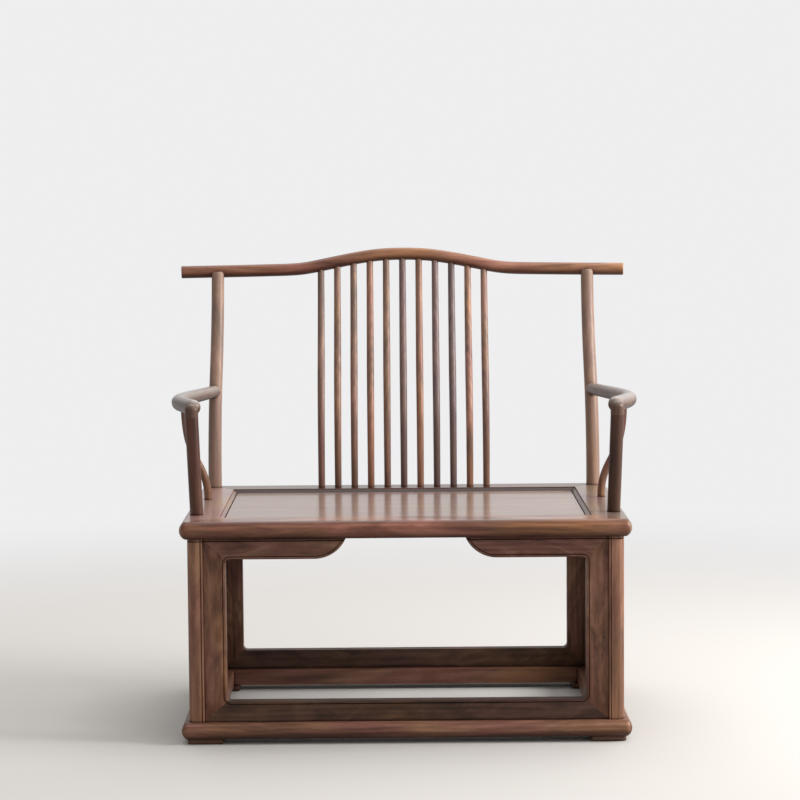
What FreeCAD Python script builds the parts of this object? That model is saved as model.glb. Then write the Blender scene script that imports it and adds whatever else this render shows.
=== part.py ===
import FreeCAD, Part
import math
import os

from FreeCAD import Vector

# A wide, low armchair in walnut with a yoke-shaped top rail, a fan of thin spindles and
# a box base of four open board frames. Millimetres, +Z up, the front faces -Y.
# The origin is on the floor, under the middle of the whole chair's box.

# Seat frame
seat_width = 860.0
seat_depth = 600.0
seat_height = 428.0
nosing_height = 33.5
nosing_corner_radius = 14.0
nosing_edge_inset = 10.0
seat_rail_flat = 71.5
seat_chamfer_width = 8.0
seat_chamfer_depth = 7.0

# Seat panel and the battens under it
panel_thickness = 14.0
panel_gap = 0.8
panel_lip = 5.0
panel_tongue_thickness = 7.0
panel_tongue_length = 7.0
batten_width = 30.0
batten_height = 13.0
batten_key_height = 4.0
batten_key_flare = 2.0
batten_tenon_length = 12.0
batten_place_share = 0.27

# Floor frame and feet
floor_rail_height = 31.0
floor_rail_width = 67.0
floor_corner_radius = 13.0
floor_edge_inset = 8.0
foot_height = 10.5
foot_width = 69.0
foot_setback = 10.7
foot_corner_radius = 8.0
foot_edge_chamfer = 1.5
foot_spigot_radius = 10.0
foot_spigot_length = 9.0

# Corner posts of the base
base_setback = 14.0
base_post_size = 30.0
base_post_radius = 16.0
base_post_tenon_size = 14.0
base_post_tenon_length = 14.0

# Boards between the corner posts
board_thickness = 25.0
board_recess = 4.0
stile_width = 42.7
bottom_board_height = 39.3
apron_height = 40.1
apron_end_radius = 66.0
apron_gap_share = 0.33
opening_corner_radius = 9.0
board_tongue_thickness = 8.0
board_tongue_length = 6.0
board_tongue_end = 12.0
board_tenon_length = 14.0
board_tenon_height = 15.0

# Bead along the openings and along the corner posts
bead_width = 4.2
post_bead_width = 3.2
bead_radius = 1.8
quirk_width = 2.2
quirk_depth = 1.6

# Groove round the base, just under the seat frame
shade_groove_drop = 4.2
shade_groove_width = 2.0
shade_groove_depth = 3.0

# Hidden tenons of the mitred frame corners
corner_tenon_thickness = 9.0
corner_tenon_width = 20.0
corner_tenon_inset = 41.0
corner_tenon_cover = 20.0

# Rear posts
rear_post_inset = 31.0
rear_post_foot_diameter = 28.4
rear_post_head_diameter = 26.4
rear_post_head_inset = 38.0
rear_post_rake = 67.0

# Top rail
top_rail_overhang = 77.4
top_rail_diameter = 26.0
top_rail_height = 452.0
top_rail_hump = 35.0
top_rail_bow = 24.0
top_rail_edge = 2.0

# Spindles
spindle_count = 11
spindle_pitch = 34.7
spindle_foot_setback = 47.0
spindle_end_diameter = 14.0
spindle_middle_diameter = 15.6
spindle_tenon_radius = 4.5

# Arms
arm_height = 202.0
arm_rise = 6.0
arm_rear_diameter = 25.0
arm_front_diameter = 30.0
arm_elbow_reach = 18.0
arm_elbow_setback = 285.0
arm_nose_setback = 127.0
arm_end_swell = 0.15
arm_nose_shift = 2.0
arm_socket_radius = 13.2
arm_socket_joint = 188.5
arm_dome_height = 216.0

# Front arm posts
front_post_setback = 118.0
front_post_foot_inset = 26.2
front_post_head_inset = 18.9
front_post_foot_diameter = 25.4
front_post_head_diameter = 26.0

# Curved side sticks
side_stick_diameter = 15.4
side_stick_foot_setback = 357.0
side_stick_foot_inset = 31.0
side_stick_head_setback = 336.0
side_stick_head_inset = -11.5
side_stick_tenon_radius = 4.5

# Round tenons of the posts, and fits
post_tenon_radius = 8.0
post_tenon_length = 16.0
fit_clearance = 0.15
tenon_end_gap = 0.6
seat_gap = 0.2
overrun = 5.0

# Rings along the bent rods, and halvings in the search for a point on a curve
short_rod_rings = 13
rod_rings = 17
top_rail_rings = 41
halvings = 40

# Places worked out from the sizes above
chair_depth = seat_depth - rear_post_inset + rear_post_rake + top_rail_bow + top_rail_diameter / 2
front_y = -chair_depth / 2
rear_y = front_y + seat_depth
frame_middle_y = front_y + seat_depth / 2
seat_underside = seat_height - nosing_height
seat_rail_width = seat_rail_flat + seat_chamfer_width
panel_top = seat_height - seat_chamfer_depth
floor_top = foot_height + floor_rail_height
base_post_centre = base_setback + base_post_size / 2
apron_underside = seat_underside - apron_height
board_top = floor_top + bottom_board_height
up = Vector(0, 0, 1)


def box(low, high):
    """Box between two opposite corners."""
    return Part.makeBox(high.x - low.x, high.y - low.y, high.z - low.z, low)


def centred_box(width, depth, low_z, high_z):
    """Box centred on the seat frame in plan."""
    return box(Vector(-width / 2, frame_middle_y - depth / 2, low_z),
               Vector(width / 2, frame_middle_y + depth / 2, high_z))


def prism(points, direction):
    """Solid made by pushing a closed outline of points along a direction."""
    return Part.Face(Part.makePolygon(points + [points[0]])).extrude(direction)


def quarter_turns(shape, turns):
    """Turn a shape about the vertical axis through the middle of the seat frame."""
    turned = shape.copy()
    turned.rotate(Vector(0, frame_middle_y, 0), up, 90 * turns)
    return turned


def solid_of(shape):
    """The one solid that a cut or a fuse leaves."""
    solids = sorted(shape.Solids, key=lambda solid: solid.Volume)
    return solids[-1]


# Bent rods

def spline(points):
    """Smooth curve through a few points."""
    curve = Part.BSplineCurve()
    curve.interpolate(points)
    return curve


def rod(curve, diameters, ring_count, extra=0.0):
    """Round rod lofted along a curve; the diameters follow one another at even steps.

    The seam is on top of a lying rod and on the right of a standing one, whose foot is level.
    """
    chord = curve.value(curve.LastParameter) - curve.value(curve.FirstParameter)
    standing = abs(chord.z) > chord.Length / 2
    side = Vector(1, 0, 0) if standing else up
    rings = []
    for index in range(ring_count):
        share = index / (ring_count - 1)
        parameter = curve.FirstParameter + share * (curve.LastParameter - curve.FirstParameter)
        step = share * (len(diameters) - 1)
        lower = min(int(step), len(diameters) - 2)
        diameter = diameters[lower] + (diameters[lower + 1] - diameters[lower]) * (step - lower)
        direction = up if standing and index == 0 else curve.tangent(parameter)[0]
        circle = Part.Circle(curve.value(parameter), direction, diameter / 2 + extra)
        rings.append(Part.Wire(aligned_circle(circle, side)))
    return Part.makeLoft(rings, True, False)


def aligned_circle(circle, side):
    """Full circle whose seam is on the asked side."""
    across = side - circle.Axis * side.dot(circle.Axis)
    circle.XAxis = across.normalize()
    return circle.toShape()


def parameter_where(curve, is_before):
    """Parameter of the point where a test of the points along a curve changes, by halving."""
    low = curve.FirstParameter
    high = curve.LastParameter
    for _ in range(halvings):
        middle = (low + high) / 2
        if is_before(curve.value(middle)):
            low = middle
        else:
            high = middle
    return (low + high) / 2


def peg(end, direction, length, radius):
    """Round tenon that ends at a point and comes from the other way."""
    back = Vector(direction).normalize()
    return Part.makeCylinder(radius, length, end - back * length, back)


def foot_tenon(foot_point, radius):
    """Peg under the foot of a post, a spindle or a stick."""
    return peg(foot_point - up * post_tenon_length, -up, post_tenon_length + overrun, radius)


def socket(end, direction, length, radius):
    """Hole for a peg, wider and a little deeper than the peg."""
    back = Vector(direction).normalize()
    return peg(end + back * tenon_end_gap, direction, length + tenon_end_gap, radius + fit_clearance)


# Mitred frames

def nosing_face(reach, thickness, top, edge_inset):
    """Upright face from the middle out to an edge that bulges between two crisp arrises."""
    low_z = top - thickness
    high = Vector(0, 0, top)
    low = Vector(0, 0, low_z)
    out_high = Vector(reach - edge_inset, 0, top)
    out_low = Vector(reach - edge_inset, 0, low_z)
    widest = Vector(reach, 0, (low_z + top) / 2)
    edges = [Part.makeLine(high, out_high), Part.Arc(out_high, widest, out_low).toShape(),
             Part.makeLine(out_low, low), Part.makeLine(low, high)]
    return Part.Face(Part.Wire(edges))


def nosed_slab(thickness, top, edge_inset, corner_radius):
    """Slab with a bulging edge all round and corners that are rounded in plan."""
    bars = []
    for length, span, turn in ((seat_depth, seat_width, 0), (seat_width, seat_depth, 90)):
        face = nosing_face(span / 2, thickness, top, edge_inset)
        face.translate(Vector(0, -length / 2, 0))
        right = face.extrude(Vector(0, length, 0))
        left = right.copy()
        left.rotate(Vector(0, 0, 0), up, 180)
        bar = right.fuse(left).removeSplitter()
        bar.rotate(Vector(0, 0, 0), up, turn)
        bar.translate(Vector(0, frame_middle_y, 0))
        bars.append(bar)
    slab = bars[0].common(bars[1])
    corner_face = nosing_face(corner_radius, thickness, top, edge_inset)
    for side, end, turn in ((1, 1, 0), (-1, 1, 90), (-1, -1, 180), (1, -1, 270)):
        axis = Vector(side * (seat_width / 2 - corner_radius),
                      frame_middle_y + end * (seat_depth / 2 - corner_radius), 0)
        outer = Vector(side * seat_width / 2, frame_middle_y + end * seat_depth / 2, 0)
        low = Vector(min(axis.x, outer.x), min(axis.y, outer.y), top - thickness - overrun)
        high = Vector(max(axis.x, outer.x), max(axis.y, outer.y), top + overrun)
        quarter = corner_face.revolve(Vector(0, 0, 0), up, 90)
        quarter.rotate(Vector(0, 0, 0), up, turn)
        quarter.translate(axis)
        slab = slab.cut(box(low, high)).fuse(quarter)
    return slab.removeSplitter()


def mitred_rails(frame, rail_width, low_z, high_z):
    """Split a frame into front, right, rear and left rails along its mitres."""
    half_width = seat_width / 2
    half_depth = seat_depth / 2
    rails = {}
    corners = [(-half_width, -half_depth), (half_width, -half_depth),
               (half_width, half_depth), (-half_width, half_depth)]
    inner = [(x - math.copysign(rail_width, x), y - math.copysign(rail_width, y)) for x, y in corners]
    for index, name in enumerate(("front", "right", "rear", "left")):
        follower = (index + 1) % 4
        outline = [corners[index], corners[follower], inner[follower], inner[index]]
        points = [Vector(x, frame_middle_y + y, low_z) for x, y in outline]
        rails[name] = solid_of(frame.common(prism(points, Vector(0, 0, high_z - low_z))))
    return rails


def corner_tenons(middle_z, clearance=0.0):
    """Flat tenons of the long rails, which enter the short rails across the mitres."""
    thickness = corner_tenon_thickness / 2 + clearance
    tenons = {"front": [], "rear": []}
    for name, end in (("front", -1), ("rear", 1)):
        for side in (-1, 1):
            start = side * (seat_width / 2 - corner_tenon_inset - corner_tenon_width - overrun)
            finish = side * (seat_width / 2 - corner_tenon_cover + (tenon_end_gap if clearance else 0))
            outer_reach = seat_depth / 2 - corner_tenon_inset + clearance
            inner_reach = outer_reach - corner_tenon_width - 2 * clearance
            outer = frame_middle_y + end * outer_reach
            inner = frame_middle_y + end * inner_reach
            low = Vector(min(start, finish), min(outer, inner), middle_z - thickness)
            high = Vector(max(start, finish), max(outer, inner), middle_z + thickness)
            tenons[name].append(box(low, high))
    return tenons


def join_corners(rails, middle_z):
    """Give the long rails their corner tenons and the short rails their mortises."""
    tenons = corner_tenons(middle_z)
    mortises = corner_tenons(middle_z, fit_clearance)
    for name in ("front", "rear"):
        rails[name] = solid_of(rails[name].fuse(tenons[name]).removeSplitter())
    for name in ("left", "right"):
        rails[name] = solid_of(rails[name].cut(mortises["front"] + mortises["rear"]))
    return rails


def base_post_places():
    """Plan places of the four corner posts, with the way each faces out."""
    places = []
    for side in (-1, 1):
        for end in (-1, 1):
            x = side * (seat_width / 2 - base_post_centre)
            y = frame_middle_y + end * (seat_depth / 2 - base_post_centre)
            places.append((side, end, Vector(x, y, 0)))
    return places


def post_tenon(place, low_z, high_z, clearance=0.0):
    """Square tenon of a corner post."""
    half = base_post_tenon_size / 2 + clearance
    return box(Vector(place.x - half, place.y - half, low_z),
               Vector(place.x + half, place.y + half, high_z))


# Seat

def seat_frame():
    """Four seat rails with a bulging nosing and a sunk inner chamfer."""
    slab = nosed_slab(nosing_height, seat_height, nosing_edge_inset, nosing_corner_radius)
    opening_width = seat_width - 2 * seat_rail_width
    opening_depth = seat_depth - 2 * seat_rail_width
    frame = slab.cut(centred_box(opening_width, opening_depth,
                                 seat_underside - overrun, seat_height + overrun))
    frame = frame.cut(seat_chamfer())
    groove_top = panel_top - panel_lip + fit_clearance
    groove_reach = 2 * (panel_gap + panel_tongue_length)
    frame = frame.cut(centred_box(opening_width + groove_reach, opening_depth + groove_reach,
                                  groove_top - panel_tongue_thickness - 2 * fit_clearance, groove_top))
    rails = mitred_rails(frame, seat_rail_width, seat_underside, seat_height)
    rails = join_corners(rails, seat_height - nosing_height / 2 - corner_tenon_thickness / 2)
    return cut_seat_mortises(rails)


def seat_chamfer():
    """Sunk bevel all round the inner top edge of the seat rails."""
    wires = []
    for width, z in ((seat_chamfer_width, seat_height), (0, panel_top)):
        half_x = seat_width / 2 - seat_rail_width + width
        half_y = seat_depth / 2 - seat_rail_width + width
        corners = [Vector(side * half_x, frame_middle_y + end * half_y, z)
                   for side, end in ((-1, -1), (1, -1), (1, 1), (-1, 1), (-1, -1))]
        wires.append(Part.makePolygon(corners))
    return Part.makeLoft(wires, True, True)


def cut_seat_mortises(rails):
    """Mortises for posts, spindles, sticks, battens and the base in the seat rails."""
    for side, end, place in base_post_places():
        mortise = post_tenon(place, seat_underside, seat_underside + base_post_tenon_length + tenon_end_gap,
                             fit_clearance)
        for name in ("front" if end < 0 else "rear", "left" if side < 0 else "right"):
            rails[name] = rails[name].cut(mortise)
    for side, name in ((-1, "left"), (1, "right")):
        holes = [socket(point, -up, length, radius) for point, length, radius in (
            (front_post_foot(side) - up * post_tenon_length, post_tenon_length, post_tenon_radius),
            (rear_post_foot(side) - up * post_tenon_length, post_tenon_length, post_tenon_radius),
            (side_stick_foot(side) - up * post_tenon_length, post_tenon_length, side_stick_tenon_radius))]
        rails[name] = rails[name].cut(holes)
        rails["rear"] = rails["rear"].cut(holes[1])
    for index in range(spindle_count):
        foot = spindle_foot(index)
        rails["rear"] = rails["rear"].cut(
            socket(foot - up * post_tenon_length, -up, post_tenon_length, spindle_tenon_radius))
    for x in batten_places():
        mortise = batten_bar(x, batten_tenon_length + tenon_end_gap, fit_clearance)
        for name in ("front", "rear"):
            rails[name] = rails[name].cut(mortise)
    return {name: solid_of(rail) for name, rail in rails.items()}


def batten_places():
    """Places of the two battens across the width."""
    reach = batten_place_share * seat_width
    return [-reach, reach]


def batten_bar(x, reach, clearance=0.0):
    """Plain bar of a batten, which reaches into the front and rear rails."""
    half_y = seat_depth / 2 - seat_rail_width + reach
    half_x = batten_width / 2 + clearance
    top = panel_top - panel_thickness
    low = top - (batten_height - batten_key_height) - clearance
    return box(Vector(x - half_x, frame_middle_y - half_y, low),
               Vector(x + half_x, frame_middle_y + half_y, top + clearance))


def batten_key(x, length, clearance=0.0):
    """Dovetail key on top of a batten, wider at its top."""
    low = panel_top - panel_thickness
    high = low + batten_key_height + clearance
    narrow = batten_width / 2 - batten_key_flare + clearance
    wide = batten_width / 2 + clearance
    start = frame_middle_y - length / 2
    points = [Vector(x - narrow, start, low), Vector(x + narrow, start, low),
              Vector(x + wide, start, high), Vector(x - wide, start, high)]
    return prism(points, Vector(0, length, 0))


def seat_panel():
    """Floating panel with a tongue all round and dovetail slots in its underside."""
    width = seat_width - 2 * (seat_rail_width + panel_gap)
    depth = seat_depth - 2 * (seat_rail_width + panel_gap)
    body = centred_box(width, depth, panel_top - panel_thickness, panel_top)
    tongue_top = panel_top - panel_lip
    tongue = centred_box(width + 2 * panel_tongue_length, depth + 2 * panel_tongue_length,
                         tongue_top - panel_tongue_thickness, tongue_top)
    panel = body.fuse(tongue).removeSplitter()
    for x in batten_places():
        panel = panel.cut(batten_key(x, seat_depth, fit_clearance))
    return solid_of(panel)


def seat_batten(x):
    """Batten with a dovetail key along the panel and a tenon at each end."""
    key_length = seat_depth - 2 * (seat_rail_width + panel_gap)
    return solid_of(batten_bar(x, batten_tenon_length).fuse(batten_key(x, key_length)).removeSplitter())


# Base

def floor_frame():
    """Four floor rails with a bulging nosing, on which the corner posts stand."""
    slab = nosed_slab(floor_rail_height, floor_top, floor_edge_inset, floor_corner_radius)
    width = seat_width - 2 * floor_rail_width
    depth = seat_depth - 2 * floor_rail_width
    opening = centred_box(width, depth, foot_height - overrun, floor_top + overrun)
    frame = slab.cut(opening)
    rails = mitred_rails(frame, floor_rail_width, foot_height, floor_top)
    rails = join_corners(rails, foot_height + floor_rail_height / 2)
    for side, end, place in base_post_places():
        mortise = post_tenon(place, floor_top - base_post_tenon_length - tenon_end_gap, floor_top,
                             fit_clearance)
        spigot = socket(foot_place(side, end) + up * (foot_height + foot_spigot_length), up,
                        foot_spigot_length, foot_spigot_radius)
        for name in ("front" if end < 0 else "rear", "left" if side < 0 else "right"):
            rails[name] = rails[name].cut([mortise, spigot])
    return {name: solid_of(rail) for name, rail in rails.items()}


def foot_place(side, end):
    """Middle of a foot on the floor."""
    inset = foot_setback + foot_width / 2
    return Vector(side * (seat_width / 2 - inset), frame_middle_y + end * (seat_depth / 2 - inset), 0)


def foot(side, end):
    """Flat foot with rounded corners, a bevelled sole and a round spigot."""
    place = foot_place(side, end)
    half = Vector(foot_width / 2, foot_width / 2, 0)
    pad = box(place - half, place + half + up * foot_height)
    upright = [edge for edge in pad.Edges if edge.BoundBox.ZLength > foot_height / 2]
    pad = pad.makeFillet(foot_corner_radius, upright)
    sole = [edge for edge in pad.Edges if edge.BoundBox.ZMax < foot_height / 2]
    pad = pad.makeChamfer(foot_edge_chamfer, sole)
    spigot = Part.makeCylinder(foot_spigot_radius, foot_spigot_length, place + up * foot_height)
    return solid_of(pad.fuse(spigot))


def base_post(side, end, place):
    """Corner post: a broad round outer corner, a bead by each board and a tenon at both ends."""
    half = base_post_size / 2
    post = box(Vector(-half, -half, floor_top), Vector(half, half, seat_underside))
    post = post.makeFillet(base_post_radius, upright_edges(post, -half, -half))
    post = post.makeFillet(bead_radius, upright_edges(post, half, -half) + upright_edges(post, -half, half))
    quirk_start = half - post_bead_width - quirk_width
    quirk = box(Vector(quirk_start, -half - overrun, floor_top),
                Vector(quirk_start + quirk_width, -half + quirk_depth, seat_underside))
    other = box(Vector(-half - overrun, quirk_start, floor_top),
                Vector(-half + quirk_depth, quirk_start + quirk_width, seat_underside))
    post = post.cut([quirk, other])
    turns = {(-1, -1): 0, (1, -1): 90, (1, 1): 180, (-1, 1): 270}[(side, end)]
    post.rotate(Vector(0, 0, 0), up, turns)
    post.translate(place)
    tenons = [post_tenon(place, seat_underside, seat_underside + base_post_tenon_length),
              post_tenon(place, floor_top - base_post_tenon_length, floor_top)]
    slots = [quarter_turns(slot, turn)
             for turn, span in enumerate(board_spans())
             for slot in board_tongues(span, seat_ends()[turn], fit_clearance)]
    return solid_of(post.fuse(tenons).cut(slots + [shade_groove()]))


def shade_groove():
    """Ring that cuts one level groove round the posts and the boards, a little below the seat."""
    high = seat_underside - shade_groove_drop
    low = high - shade_groove_width
    cut_depth = board_recess + shade_groove_depth
    reach = base_setback + cut_depth
    inner = centred_box(seat_width - 2 * reach, seat_depth - 2 * reach, low - overrun, high + overrun)
    corners = [edge for edge in inner.Edges if edge.BoundBox.ZLength > shade_groove_width]
    inner = inner.makeFillet(base_post_radius - cut_depth, corners)
    return centred_box(seat_width, seat_depth, low, high).cut(inner)


def upright_edges(shape, x, y):
    """Upright edges of a shape that stand at a plan place."""
    found = []
    for edge in shape.Edges:
        bounds = edge.BoundBox
        distance = abs(bounds.Center.x - x) + abs(bounds.Center.y - y)
        if bounds.ZLength > base_post_size and distance < bead_radius / 2:
            found.append(edge)
    return found


def board_spans():
    """Clear widths between the corner posts, from the front round to the left."""
    wide = seat_width - 2 * (base_setback + base_post_size)
    deep = seat_depth - 2 * (base_setback + base_post_size)
    return [wide, deep, wide, deep]


def seat_ends():
    """How far each board frame's side of the chair is from its middle."""
    return [seat_depth / 2, seat_width / 2, seat_depth / 2, seat_width / 2]


def board_outer(reach):
    """Outer face of the boards on a side that is so far from the middle."""
    return frame_middle_y - reach + base_setback + board_recess


def board_tongues(span, reach, clearance=0.0):
    """Tongues on the outer edges of both stiles, which enter the corner posts."""
    middle = board_outer(reach) + board_thickness / 2
    half = board_tongue_thickness / 2 + clearance
    gap = tenon_end_gap if clearance else 0
    low_z = floor_top + board_tongue_end - gap
    high_z = seat_underside - board_tongue_end + gap
    tongues = []
    for side in (-1, 1):
        inner = side * (span / 2 - overrun)
        outer = side * (span / 2 + board_tongue_length + gap)
        tongues.append(box(Vector(min(inner, outer), middle - half, low_z),
                           Vector(max(inner, outer), middle + half, high_z)))
    return tongues


def opening_wire(span, grow=0.0):
    """Outline of the opening: rounded corners, two apron ends on arcs and a gap between them."""
    half = span / 2 - stile_width + grow
    low = board_top - grow
    high = apron_underside + grow
    radius = opening_corner_radius + grow
    end_radius = apron_end_radius - grow
    gap = apron_gap_share * (span / 2 - stile_width)
    rise = apron_height
    run = math.sqrt(apron_end_radius ** 2 - (apron_end_radius - rise) ** 2)
    centre_x = gap + run
    centre_z = apron_underside + apron_end_radius
    ceiling = seat_underside + overrun
    tip_x = centre_x - math.sqrt(end_radius ** 2 - (centre_z - ceiling) ** 2)
    diagonal = math.sqrt(0.5)

    def corner(side, z, vertical):
        centre = Vector(side * (half - radius), 0, z - vertical * radius)
        level = centre + Vector(side * radius, 0, 0)
        upright = centre + Vector(0, 0, vertical * radius)
        middle = centre + Vector(side * radius * diagonal, 0, vertical * radius * diagonal)
        return level, middle, upright

    def apron_end(side):
        turn = math.acos((centre_z - ceiling) / end_radius) / 2
        start = Vector(side * centre_x, 0, high)
        middle = Vector(side * (centre_x - end_radius * math.sin(turn)), 0,
                        centre_z - end_radius * math.cos(turn))
        tip = Vector(side * tip_x, 0, ceiling)
        return start, middle, tip

    right_low = corner(1, low, -1)
    right_high = corner(1, high, 1)
    left_high = corner(-1, high, 1)
    left_low = corner(-1, low, -1)
    right_end = apron_end(1)
    left_end = apron_end(-1)
    edges = [
        Part.makeLine(left_low[2], right_low[2]),
        Part.Arc(right_low[2], right_low[1], right_low[0]).toShape(),
        Part.makeLine(right_low[0], right_high[0]),
        Part.Arc(right_high[0], right_high[1], right_high[2]).toShape(),
        Part.makeLine(right_high[2], right_end[0]),
        Part.Arc(*right_end).toShape(),
        Part.makeLine(right_end[2], left_end[2]),
        Part.Arc(left_end[2], left_end[1], left_end[0]).toShape(),
        Part.makeLine(left_end[0], left_high[2]),
        Part.Arc(left_high[2], left_high[1], left_high[0]).toShape(),
        Part.makeLine(left_high[0], left_low[0]),
        Part.Arc(left_low[0], left_low[1], left_low[2]).toShape(),
    ]
    return Part.Wire(edges)


def opening_solid(span, grow, start_y, thickness):
    """The opening, grown by a margin, pushed through a thickness."""
    face = Part.Face(opening_wire(span, grow))
    solid = face.extrude(Vector(0, thickness, 0))
    solid.translate(Vector(0, start_y, 0))
    return solid


def board_frame(span, reach):
    """Two stiles, a bottom board and two apron halves, mitred round one opening."""
    outer = board_outer(reach)
    whole = box(Vector(-span / 2, outer, floor_top),
                Vector(span / 2, outer + board_thickness, seat_underside))
    whole = whole.cut(opening_solid(span, 0.0, outer - overrun, board_thickness + 2 * overrun))
    rim = [edge for edge in whole.Edges if on_opening_rim(edge, outer, span)]
    whole = whole.makeFillet(bead_radius, rim)
    quirk = opening_solid(span, bead_width + quirk_width, outer - overrun, overrun + quirk_depth)
    quirk = quirk.cut(opening_solid(span, bead_width, outer - 2 * overrun, 3 * overrun + quirk_depth))
    whole = whole.cut(quirk)
    middle = outer + board_thickness / 2
    half_open = span / 2 - stile_width
    reach_in = opening_corner_radius
    rise_in = reach_in * bottom_board_height / stile_width
    drop_in = reach_in * apron_height / stile_width
    low_inner = [Vector(side * (half_open - reach_in), outer, board_top + rise_in) for side in (-1, 1)]
    high_inner = [Vector(side * (half_open - reach_in), outer, apron_underside - drop_in)
                  for side in (-1, 1)]
    low_outer = [Vector(side * span / 2, outer, floor_top) for side in (-1, 1)]
    high_outer = [Vector(side * span / 2, outer, seat_underside) for side in (-1, 1)]
    through = Vector(0, board_thickness, 0)
    tongues = board_tongues(span, reach)
    board_middle_z = (floor_top + board_top) / 2
    apron_middle_z = (seat_underside + apron_underside) / 2
    apron_middle = [Vector(0, outer, apron_underside - drop_in), Vector(0, outer, seat_underside)]
    board = solid_of(whole.common(prism(low_outer + low_inner[::-1], through)))
    pieces = {}
    for index, name in enumerate(("left", "right")):
        side = (-1, 1)[index]
        stile_outline = [low_outer[index], low_inner[index], high_inner[index], high_outer[index]]
        apron_outline = [high_outer[index], high_inner[index]] + apron_middle
        stile = whole.common(prism(stile_outline, through))
        apron = whole.common(prism(apron_outline, through))
        stile = stile.cut([board_tenon(side, span, middle, centre_z, fit_clearance)
                           for centre_z in (board_middle_z, apron_middle_z)])
        board = board.fuse(board_tenon(side, span, middle, board_middle_z)).removeSplitter()
        upper = board_tenon(side, span, middle, apron_middle_z)
        pieces[name + "_stile"] = solid_of(solid_of(stile).fuse(tongues[index]).removeSplitter())
        pieces[name + "_apron"] = solid_of(solid_of(apron).fuse(upper).removeSplitter())
    pieces["bottom_board"] = solid_of(board)
    return pieces


def board_tenon(side, span, middle, centre_z, clearance=0.0):
    """Tenon that crosses a mitre from a board or an apron into the stile."""
    half_thickness = board_tongue_thickness / 2 + clearance
    half_height = board_tenon_height / 2 + clearance
    inner = side * (span / 2 - stile_width)
    gap = tenon_end_gap if clearance else 0
    outer = side * (span / 2 - stile_width / 2 + board_tenon_length / 2 + gap)
    return box(Vector(min(inner, outer), middle - half_thickness, centre_z - half_height),
               Vector(max(inner, outer), middle + half_thickness, centre_z + half_height))


def on_opening_rim(edge, outer, span):
    """Whether an edge runs round the opening on the outer face of a board frame."""
    bounds = edge.BoundBox
    if bounds.YLength > bead_radius / 2 or abs(bounds.YMin - outer) > bead_radius / 2:
        return False
    inside = max(abs(bounds.XMin), abs(bounds.XMax)) < span / 2 - stile_width / 2
    return inside and bounds.ZMin > floor_top + bead_width and bounds.ZMin < seat_underside - bead_radius


# Back

def rear_post_foot(side):
    """Middle of a rear post on the seat frame."""
    return Vector(side * (seat_width / 2 - rear_post_inset), rear_y - rear_post_inset, seat_height)


def rear_post_curve(side):
    """Curve of a rear post: upright at the seat, then in, and back in a soft S."""
    foot_point = rear_post_foot(side)
    head = Vector(side * (seat_width / 2 - rear_post_head_inset), foot_point.y + rear_post_rake,
                  seat_height + top_rail_height)
    height_shares = (0.0, 0.25, 0.45, 0.62, 0.80, 1.0)
    lean_shares = (0.0, 0.08, 0.27, 0.54, 0.82, 1.0)
    inward_shares = (0.0, 0.10, 0.36, 0.68, 0.90, 1.0)
    points = []
    for height_share, lean_share, inward_share in zip(height_shares, lean_shares, inward_shares):
        points.append(Vector(foot_point.x + (head.x - foot_point.x) * inward_share,
                             foot_point.y + (head.y - foot_point.y) * lean_share,
                             foot_point.z + (head.z - foot_point.z) * height_share))
    return spline(points)


def top_rail_curve():
    """Curve of the top rail: level ends, a low hump and a slight bow to the rear."""
    half = seat_width / 2 - rear_post_head_inset + top_rail_overhang - top_rail_edge
    level_y = rear_y - rear_post_inset + rear_post_rake
    level_z = seat_height + top_rail_height
    out_shares = (0.0, 0.11, 0.25, 0.37, 0.45, 0.56, 0.78, 1.0)
    rise_shares = (1.0, 0.94, 0.66, 0.34, 0.155, 0.075, 0.03, 0.0)
    points = []
    for out_share, rise_share in zip(out_shares, rise_shares):
        bow = top_rail_bow * (1 - out_share ** 2)
        points.append(Vector(half * out_share, level_y + bow, level_z + top_rail_hump * rise_share))
    left = [Vector(-point.x, point.y, point.z) for point in reversed(points[1:])]
    return spline(left + points)


def top_rail_rod(extra=0.0):
    """Top rail as a plain bent rod."""
    return rod(top_rail_curve(), [top_rail_diameter, top_rail_diameter], top_rail_rings, extra)


def top_rail(sockets):
    """Top rail with eased ends and its mortises."""
    curve = top_rail_curve()
    ends = []
    for parameter, way in ((curve.FirstParameter, -1), (curve.LastParameter, 1)):
        direction = curve.tangent(parameter)[0] * way
        radius = top_rail_diameter / 2
        ends.append(Part.makeCone(radius, radius - top_rail_edge, top_rail_edge,
                                  curve.value(parameter), direction))
    return solid_of(top_rail_rod().fuse(ends).cut(sockets))


def end_of(curve):
    """Last point of a curve and its direction there."""
    return curve.value(curve.LastParameter), curve.tangent(curve.LastParameter)[0]


def rear_post(side, rail_space, arm_socket):
    """Rear post with a round tenon at each end, coped to the top rail."""
    curve = rear_post_curve(side)
    body = rod(curve, [rear_post_foot_diameter, rear_post_head_diameter], rod_rings)
    foot_peg = foot_tenon(rear_post_foot(side), post_tenon_radius)
    head, direction = end_of(curve)
    head_peg = peg(head, direction, top_rail_diameter / 2 + overrun, post_tenon_radius)
    return solid_of(solid_of(body.cut([rail_space, arm_socket])).fuse([foot_peg, head_peg]))


def spindle_foot(index):
    """Middle of a spindle on the rear seat rail."""
    x = (index - (spindle_count - 1) / 2) * spindle_pitch
    return Vector(x, rear_y - spindle_foot_setback, seat_height)


def rail_point(x):
    """Point of the top rail's curve at a place across the chair."""
    curve = top_rail_curve()
    return curve.value(parameter_where(curve, lambda point: point.x < x))


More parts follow.
